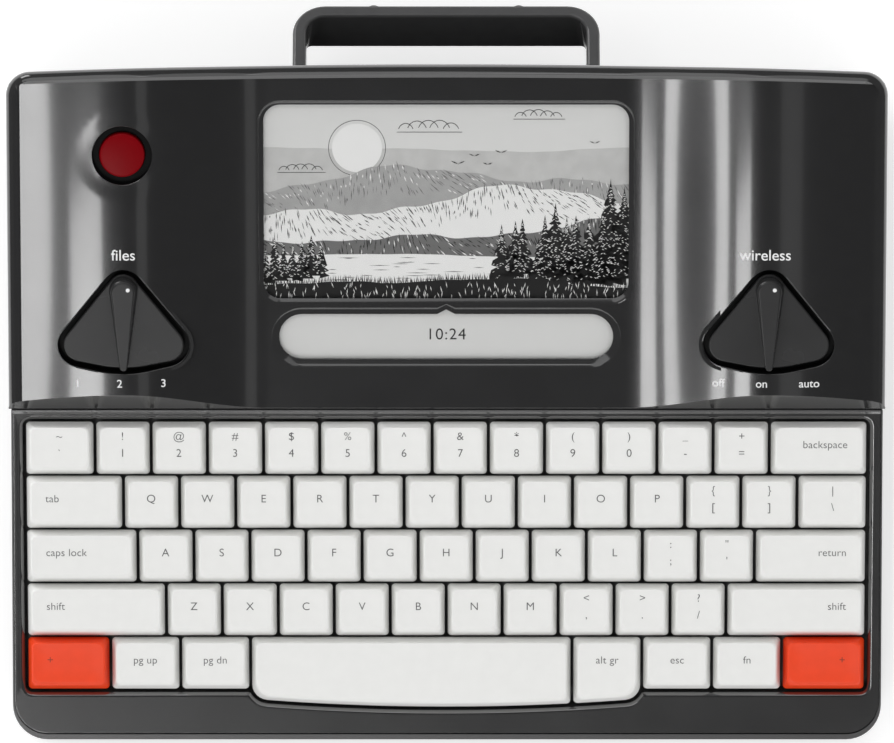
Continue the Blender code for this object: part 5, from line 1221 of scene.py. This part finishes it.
def make_selectors():
    """Each selector: its triangular plate, and a pointer with a rounded ridge and a white dot."""
    edge = DIAL_PLATE_EDGE
    low = DIAL_PLATE_TOP + FIT_GAP
    plate = [(rounded_outline(dial_corners(0)), DIAL_RECESS_FLOOR + FIT_GAP)]
    plate += [(rounded_outline(dial_corners(-edge * (1 - cosine))), DIAL_PLATE_TOP - edge * (1 - sine))
              for sine, cosine in quarter(4)]
    lever = [(lever_outline(LEVER_WIDE_RADIUS * (1 - inset), LEVER_TIP_RADIUS * (1 - inset)),
              low + LEVER_HEIGHT * height) for inset, height in LEVER_SHARES]
    dot = [(0, DOT_HEIGHT), (DOT_TOP_RADIUS, DOT_HEIGHT), (DOT_RADIUS, 0), (0, 0)]
    for side, name in ((-1, "folder"), (1, "wireless")):
        add_piece(f"{name}_plate", loft(f"{name}_plate", plate), "control",
                  DECK @ Matrix.Translation((side * LOBE_CENTRE, 0, 0)), "case", "control_black",
                  f"{name}_dial")
        body = f"{name}_pointer"
        place = DECK @ Matrix.Translation((side * LOBE_CENTRE, LEVER_PIVOT_UP, 0))
        add_piece(body, loft(body, lever), "control", place, body, "control_black", f"{name}_lever")
        spot_place = place @ Matrix.Translation((*DOT_PLACE, low + LEVER_HEIGHT))
        dress(add_object(f"{name}_dot", turned(f"{name}_dot", dot, 24), "legend_white", spot_place), body,
              "keycap_white")


# Handle


def make_handle():
    """A U of flat strap with rounded edges, on two pins, with two soft bumpers."""
    half = HANDLE_WIDTH / 2
    inner = half - HANDLE_BAR
    tail = -HANDLE_STRAP / 2 * HANDLE_TAIL_SHARE
    grip = HANDLE_REACH - HANDLE_BAR
    sections = []
    for height, radius in ((-1, HANDLE_GRIP_RADIUS), (1, HANDLE_CORNER_RADIUS - HANDLE_BAR)):
        corners = [(-half, tail, 0), (-inner, tail, 0), (-inner, grip, radius), (inner, grip, radius),
                   (inner, tail, 0), (half, tail, 0), (half, HANDLE_REACH, HANDLE_CORNER_RADIUS),
                   (-half, HANDLE_REACH, HANDLE_CORNER_RADIUS)]
        sections.append((rounded_outline(corners), height * HANDLE_STRAP / 2))
    bm = bmesh.new()
    bm.from_mesh(loft("strap", sections))
    ends = [edge for edge in bm.edges if all(vert.co.y < tail + MERGE_DISTANCE for vert in edge.verts)
            and abs(edge.verts[0].co.x - edge.verts[1].co.x) > HANDLE_BAR / 2]
    bevel_edges(bm, ends, -tail, 2 * ARC_STEPS)
    handle = add_object("handle_strap", mesh_from("handle_strap", bm), "handle")
    bevel(handle, HANDLE_EDGE, 4, math.radians(50.0))
    reach = half + OVERRUN
    boolean(handle, drum(PIN_RADIUS + FIT_GAP, -reach, reach), matrix=Matrix.Rotation(math.pi / 2, 4, "Y"))
    places = [Matrix.Translation((side * PAD_OFFSET, HANDLE_REACH, PAD_RISE))
              @ Matrix.Rotation(-math.pi / 2, 4, "X") for side in (-1, 1)]
    for place in places:
        boolean(handle, drum(PAD_RADIUS + FIT_GAP, -PAD_SEAT, OVERRUN, PAD_STEPS), matrix=place)
    handle.matrix_world = HANDLE
    smooth(handle)
    dress(handle, "handle", "handle_black", "carry_handle")
    bead = [(PAD_RADIUS * sine, PAD_PROUD * cosine) for sine, cosine in quarter(8)]
    bead += [(PAD_RADIUS, FIT_GAP - PAD_SEAT), (0, FIT_GAP - PAD_SEAT)]
    for side, label, place in zip((-1, 1), ("left", "right"), places):
        add_piece(f"bumper_{label}", turned(f"bumper_{label}", bead, PAD_STEPS), "rubber", HANDLE @ place,
                  "handle", "rubber_black", f"handle_pad_{label}")
        make_pin(side, label, inner)


def make_pin(side, label, inner):
    """A headed pin with a screwdriver slot in its head."""
    head_out = inner - FIT_GAP
    tip = POCKET_HALF_WIDTH + PIN_ENTRY
    face = head_out - PIN_HEAD
    edge = PIN_EDGE
    profile = [(0, tip), (PIN_RADIUS - edge, tip), (PIN_RADIUS, tip - edge), (PIN_RADIUS, head_out),
               (PIN_HEAD_RADIUS, head_out), (PIN_HEAD_RADIUS, face + edge),
               (PIN_HEAD_RADIUS - edge, face), (0, face)]
    pin = add_object(f"hinge_pin_{label}", turned(f"hinge_pin_{label}", profile, 40), "steel")
    half_x = PIN_HEAD_RADIUS + OVERRUN
    boolean(pin, box("slot", (-half_x, -PIN_SLOT_HALF, face - OVERRUN),
                     (half_x, PIN_SLOT_HALF, face + PIN_SLOT)))
    pin.matrix_world = (Matrix.Translation((0, PIVOT_Y, PIVOT_HEIGHT))
                        @ Matrix.Rotation(side * math.pi / 2, 4, "Y"))
    smooth(pin)
    dress(pin, "case", "steel", f"handle_pin_{label}")


def make_socket():
    """The charging socket: a rounded steel mouth with its tongue."""
    low, high, matrix = socket_place()
    lip = SOCKET_LIP
    levels = ((-SOCKET_WALL, SOCKET_DEPTH), (-SOCKET_WALL, lip), (-SOCKET_WALL / 2, 0), (-lip, 0), (0, lip),
              (0, high.y - low.y))
    mesh = loft("charging_socket", [(socket_ring(grow), -high.y + depth) for grow, depth in levels], matrix)
    add_piece("charging_socket", mesh, "steel", None, "case", "steel", "usb_socket")
    middle = (low.z + high.z) / 2
    tongue = box("socket_tongue", (low.x + TONGUE_INSET, high.y - SOCKET_DEPTH, middle - TONGUE_HALF),
                 (high.x - TONGUE_INSET, high.y - TONGUE_SINK, middle + TONGUE_HALF), lip)
    dress(add_object("socket_tongue", tongue, "black_and_recess_shade"), "case", "control_black")


def make_feet():
    """Rubber strips with rounded ends and softened lower edges."""
    for name in ("foot_front", "foot_rear"):
        low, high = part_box(name)
        half_x, half_y = (high.x - low.x) / 2, (high.y - low.y) / 2
        middle = Matrix.Translation(((low.x + high.x) / 2, (low.y + high.y) / 2, 0))
        sections = [(rounded_outline(rectangle(half_x - inset, -half_y + inset, half_y - inset,
                                               half_y * FOOT_ROUND_SHARE)), height)
                    for inset, height in ((FOOT_EDGES[0], low.z), (FOOT_EDGES[1], low.z + FOOT_EDGES[2]),
                                          (0, low.z + FOOT_EDGES[3]), (0, high.z))]
        add_piece(f"{name}_strip", loft(f"{name}_strip", sections, middle), "rubber", None, "case",
                  "rubber_black", name)


def dress_inside():
    """Inner pieces keep their solids and get their finishes."""
    finishes = {"eink_panel": "paper", "display_carrier": "steel", "key_circuit_board": "board",
                "main_circuit_board": "board", "battery_pack": "battery"}
    for node, finish in finishes.items():
        NODES[node].data.materials.clear()
        NODES[node].data.materials.append(MATERIALS[finish])


# Lettering on the head


def make_label(name, text, x, up, size, weight):
    label = lettering(name, text, "legend_white", size, x, up, head_surface, weight=weight)
    label.matrix_world = DECK
    dress(label, "case", "keycap_white")


def make_labels():
    """Names and positions of the two selectors, in plain words and numbers."""
    for side, title, shift, marks in SELECTOR_WORDS:
        x = side * LOBE_CENTRE
        make_label(f"label_{title}", title, x + shift * MM, TITLE_UP, TITLE_SIZE, TITLE_WEIGHT)
        for mark, offset in marks:
            make_label(f"mark_{title}_{mark}", mark, x + offset * MM, MARK_UP, MARK_SIZE, MARK_WEIGHT)


# The picture on the screen, with its places and sizes in millimetres


def chance(index, kind):
    """A repeatable number from 0 to 1."""
    return math.sin(index * 12.9898 + kind * 78.233) * 43758.5453 % 1


def print_plate(name, shapes, level, material):
    """Flat shapes as one thin print, clipped to the screen. Each level lies a little above the last."""
    low = PANEL_TOP + PRINT_LAYER * level
    bm = bmesh.new()
    for outline in shapes:
        points = [(max(-PICTURE_HALF_WIDTH, min(PICTURE_HALF_WIDTH, x)) * MM,
                   max(PICTURE_FRONT, min(PICTURE_REAR, y)) * MM) for x, y in outline]
        kept = [point for i, point in enumerate(points) if math.dist(point, points[i - 1]) > PRINT_MERGE]
        if len(kept) > 2:
            add_skin(bm, [[bm.verts.new((x, y, z)) for x, y in kept]
                          for z in (low, low + PRINT_LAYER * PRINT_LAYER_SHARE)])
    bmesh.ops.triangulate(bm, faces=[face for face in bm.faces if len(face.verts) > 4])
    plate = add_object(name, mesh_from(name, bm), material, DECK)
    dress(plate, "case", "paper_grey" if "paper" in material else "control_black")


def stroke(x, y, degrees, length, width):
    """A thin tapering stroke."""
    angle = math.radians(degrees)
    along = Vector((math.cos(angle), math.sin(angle))) * length / 2
    across = Vector((-along.y, along.x)).normalized() * width / 2
    middle = Vector((x, y))
    return [middle - along, middle - across, middle + along, middle + across]


def arc(x, y, radius, start, sweep, count, rise=1.0):
    """Points at even steps of an arc, which is given in shares of half a turn."""
    angles = [math.pi * (start + sweep * i / count) for i in range(count + 1)]
    return [(x + radius * math.cos(a), y + rise * radius * math.sin(a)) for a in angles]


def ribbon(points, width):
    """A line of even width as short four-sided pieces."""
    pieces = []
    for a, b in zip(points, points[1:]):
        a, b = Vector(a), Vector(b)
        across = Vector((a.y - b.y, b.x - a.x)).normalized() * width / 2
        pieces.append([a - across, b - across, b + across, a + across])
    return pieces


def ridge_height(x, base, rise, kind):
    """The skyline of a range of hills."""
    wave = x / PICTURE_HALF_WIDTH
    return base + rise * sum(size * math.sin(wave * pace + kind * shift) for size, pace, shift in RIDGE_WAVES)


def ridge(base, rise, kind):
    """A hill's outline, from its skyline down to the foot of the picture."""
    half = PICTURE_HALF_WIDTH
    xs = [half * (1 - 2 * i / RIDGE_STEPS) for i in range(RIDGE_STEPS + 1)]
    skyline = [(x, ridge_height(x, base, rise, kind)) for x in xs]
    return [(-half, PICTURE_FRONT), (half, PICTURE_FRONT)] + skyline


def ridge_hatching(base, rise, kind, depth, count, length, width):
    """Strokes that run down the slopes below a skyline."""
    shapes = []
    for i in range(count):
        x = PICTURE_HALF_WIDTH * (2 * (i + chance(i, kind)) / count - 1)
        y = ridge_height(x, base, rise, kind) - (0.06 + chance(i, kind + 1) ** 1.5) * depth
        shapes.append(stroke(x, y, -62 + 30 * math.sin(x * 0.09 + kind), length * (0.4 + chance(i, kind + 2)),
                             width * (0.6 + chance(i, kind + 3))))
    return shapes


def fir(x, base, height, index):
    """A fir tree's outline: tiers of ragged branches round a straight trunk."""
    tiers = max(6, int(height / 1.7))
    right = []
    for tier in range(tiers):
        reach = height * 0.25 * (1 - tier / tiers) * (0.8 + 0.4 * chance(index, tier))
        y = base + height * (0.07 + 0.93 * tier / tiers)
        right += [(reach, y), (reach * 0.45, y + height * 0.62 / tiers)]
    left = [(-px * (0.85 + 0.3 * chance(index, i + 40)), py) for i, (px, py) in enumerate(right)]
    trunk = height * 0.022
    foot = base + height * 0.07
    outline = [(trunk, base), (trunk, foot)] + right + [(0, base + height * 1.04)] + left[::-1]
    outline += [(-trunk, foot), (-trunk, base)]
    return [(x + px, py) for px, py in outline]


def snow_on_fir(x, base, height, index):
    """Light flecks along the branches."""
    flecks = []
    for i in range(int(height / 0.36)):
        up = chance(i, index + 11)
        offset = height * 0.19 * (1 - up) * (2 * chance(i, index + 23) - 1)
        y = base + height * (0.10 + 0.86 * up)
        flecks.append(stroke(x + offset, y, -28 if offset > 0 else 208, 0.9, 0.26))
    return flecks


def cloud(x, y, width, kind):
    """A cloud drawn as a row of open arcs over a flat line."""
    count = 5
    shapes = ribbon([(x - width * 0.56, y), (x + width * 0.60, y)], 0.22)
    for i in range(count):
        share = (i + 0.5) / count
        radius = width / count * (0.55 + 0.35 * math.sin(share * math.pi) + 0.12 * chance(i, kind))
        shapes += ribbon(arc(x - width / 2 + width * share, y, radius, 0.12, 0.76, 10, 1.15), 0.26)
    return shapes


def make_picture():
    """A woodcut-like view over wooded hills under a pale moon."""
    half = PICTURE_HALF_WIDTH
    clouds = [piece for place in CLOUDS for piece in cloud(*place)]
    prints = [("sky_low", [ridge(PICTURE_REAR - 16.5, 0.9, 21)], "ink_haze"),
              ("moon", [arc(*MOON, 8.4, 0, 2, 64)[:-1]], "paper_white"),
              ("sky_lines", ribbon(arc(*MOON, 9.6, 0, 2, 72), 0.2) + clouds, "ink_dark")]
    for base, rise, kind, tone, shade, light in HILLS:
        prints += [(f"hill_{kind}", [ridge(base, rise, kind)], tone),
                   (f"hill_shade_{kind}", ridge_hatching(base, rise, kind, 9.0, 260, 3.0, 0.26), shade),
                   (f"hill_light_{kind}", ridge_hatching(base, rise, kind, 7.0, 90, 2.2, 0.30), light)]
    ripples = [stroke(half * (2 * chance(i, 61) - 1), PICTURE_FRONT + 5.0 + 10.0 * chance(i, 62), 0,
                      2.0 + 6.0 * chance(i, 63), 0.28) for i in range(80)]
    trees = [(18.0 + 44.0 * (i + 0.6 * chance(i, 70)) / 12, 158.0 + 5.0 * chance(i, 71),
              17.0 + 24.0 * chance(i, 72) * (0.35 + 0.65 * i / 12)) for i in range(12)]
    trees += [(-61.0 + 3.1 * i, 160.0 + 3.0 * chance(i, 73), 9.0 + 9.0 * chance(i, 74)) for i in range(7)]
    blades = [stroke(half * (2 * (i + chance(i, 80)) / 240 - 1),
                     ridge_height(half * (2 * i / 240 - 1), *BANK) + 0.4, 90 + 34 * (chance(i, 81) - 0.5),
                     2.2 + 2.6 * chance(i, 82), 0.30) for i in range(240)]
    light = [stroke(half * (2 * chance(i, 90) - 1), 156.0 + 4.6 * chance(i, 91),
                    90 + 50 * (chance(i, 92) - 0.5), 1.2 + 1.8 * chance(i, 93), 0.28) for i in range(170)]
    birds = [stroke(x + side * size * 0.55, y, side * 24, 1.25 * size, 0.34)
             for x, y, size in BIRDS for side in (-1, 1)]
    prints += [("lake", [ridge(170.5, 0.5, 9)], "paper_white"), ("ripples", ripples, "ink_mid"),
               ("firs", [fir(*tree, i) for i, tree in enumerate(trees)], "ink"),
               ("firs_snow", [fleck for i, tree in enumerate(trees) for fleck in snow_on_fir(*tree, i)],
                "paper_white"),
               ("bank", [ridge(*BANK)], "ink"), ("grass", blades, "ink"),
               ("grass_light", light, "paper_white"),
               ("birds", birds, "ink")]
    for level, (name, shapes, material) in enumerate(prints, 1):
        print_plate(name, shapes, level, material)


def make_status():
    """Plain figures on the lower screen."""
    figures = lettering("status_figures", "10:24", "ink", STATUS_TEXT_SIZE, 0,
                        STATUS_CENTRE_UP + STATUS_TEXT_RISE, lambda x, y: PANEL_TOP,
                        weight=STATUS_TEXT_WEIGHT, spacing=STATUS_TEXT_SPACING)
    figures.matrix_world = DECK
    dress(figures, "case", "control_black")


# The stage


def make_camera():
    camera = bpy.data.cameras.new("camera")
    camera.lens = CAMERA_LENS
    camera.sensor_width = CAMERA_SENSOR
    camera.clip_end = CAMERA_REACH
    obj = add_object("camera", camera)
    obj.location = CAMERA_PLACE
    bpy.context.scene.camera = obj


def add_area(name, size, power, matrix):
    lamp = bpy.data.lights.new(name, "AREA")
    lamp.shape = "RECTANGLE"
    lamp.size, lamp.size_y = size
    lamp.energy = power
    add_object(name, lamp, None, matrix)


def add_lamp(name, place, target, size, power):
    direction = Vector(target) - Vector(place)
    turn = direction.to_track_quat("-Z", "Y").to_matrix().to_4x4()
    add_area(name, size, power, Matrix.Translation(place) @ turn)


def add_strip(name, left, right, low, high, radiance, twist=0.0):
    """A long lamp far off over the typist's side, given by the angles at which level gloss mirrors it."""
    across, middle = math.radians((left + right) / 2), math.radians((low + high) / 2)
    width, length = (2 * STRIP_DISTANCE * math.tan(math.radians(angle) / 2)
                     for angle in (right - left, high - low))
    away = Vector((math.sin(across), -math.cos(across) * math.sin(middle),
                   math.cos(across) * math.cos(middle)))
    side = Vector((0, -math.cos(middle), -math.sin(middle))).cross(away).normalized()
    turn = Matrix((side, away.cross(side), away)).transposed() @ Matrix.Rotation(twist, 3, "Z")
    add_area(name, (width, length), radiance * math.pi * width * length,
             Matrix.Translation(away * STRIP_DISTANCE) @ turn.to_4x4())


def make_floor():
    """A white table that shows white where nothing shades it, and keeps the object's shadow."""
    bm = bmesh.new()
    bmesh.ops.create_grid(bm, x_segments=1, y_segments=1, size=FLOOR_HALF)
    MATERIALS["floor"], tree = new_tree("floor_white")
    path = add_node(tree, "LightPath").outputs
    total = path["Is Camera Ray"]
    for kind in ("Is Glossy Ray", "Is Transmission Ray"):
        total = math_node(tree, "MAXIMUM", total, path[kind])
    fill(tree, tree.nodes["Principled BSDF"], {
        "Base Color": (FLOOR_TONE, FLOOR_TONE, FLOOR_TONE, 1), "Roughness": FLOOR_ROUGHNESS,
        "Specular IOR Level": 0.0, "Emission Color": (1, 1, 1, 1),
        "Emission Strength": math_node(tree, "MULTIPLY", total, FLOOR_GLOW)})
    floor = add_object("floor", mesh_from("floor", bm), "floor")


def make_world():
    """A white room that gloss sees as a dim one, with a dark patch above the typist."""
    world = bpy.data.worlds.new("world")
    bpy.context.scene.world = world
    world.use_nodes = True
    tree = world.node_tree
    place = add_node(tree, "TexCoord").outputs["Generated"]
    patch = (0, -math.sin(PATCH_ANGLE), math.cos(PATCH_ANGLE))
    dot = add_node(tree, "VectorMath", {0: place, 1: patch}, operation="DOT_PRODUCT")
    fade = add_node(tree, "MapRange", {
        "Value": dot.outputs["Value"], "From Min": math.cos(PATCH_OUTER), "From Max": math.cos(PATCH_INNER),
        "To Min": GLOSS_LEVEL, "To Max": PATCH_LEVEL}, interpolation_type="SMOOTHSTEP")
    up = add_node(tree, "SeparateXYZ", {0: place}).outputs["Z"]
    room = add_node(tree, "MapRange", {"Value": math_node(tree, "POWER", up, 2.0), "To Min": ROOM_HORIZON,
                                       "To Max": ROOM_ZENITH})
    by_gloss = add_node(tree, "Mix", {"Factor": add_node(tree, "LightPath").outputs["Is Glossy Ray"],
                                      "A": room.outputs["Result"], "B": fade.outputs["Result"]})
    fill(tree, tree.nodes["Background"], {"Color": (1, 1, 1, 1), "Strength": by_gloss.outputs["Result"]})


def make_stage():
    make_floor()
    make_world()
    add_lamp("rear_left", place=(-0.7, 0.9, 2.0), target=(0, 0, 0), size=(1.6, 1.2), power=7)
    add_lamp("rear_right", place=(0.7, 0.9, 2.0), target=(0, 0, 0), size=(1.2, 1.0), power=3)
    add_strip("left_strip", -9.4, -4.2, 29.7, 52.0, STRIP_RADIANCE, STRIP_TWIST)
    add_strip("far_left_strip", -15.8, -13.1, 24.0, 45.0, STRIP_RADIANCE)
    add_lamp("handle_edge", place=(-1.6, 2.2, 0.85), target=(0, 0.1, 0.04), size=(1.4, 0.8), power=18)
    add_strip("right_fill", 3.9, 7.8, 25.0, 50.0, 0.4)


def main():
    for make in (make_camera, make_stage, make_shell, make_deck, make_sill, make_key_plate, make_keyboard,
                 make_head, make_windows, make_button, make_selectors, make_handle, make_socket, make_feet,
                 dress_inside, make_labels, make_picture, make_status):
        make()


main()

scene = bpy.context.scene
scene.view_settings.view_transform = "Standard"
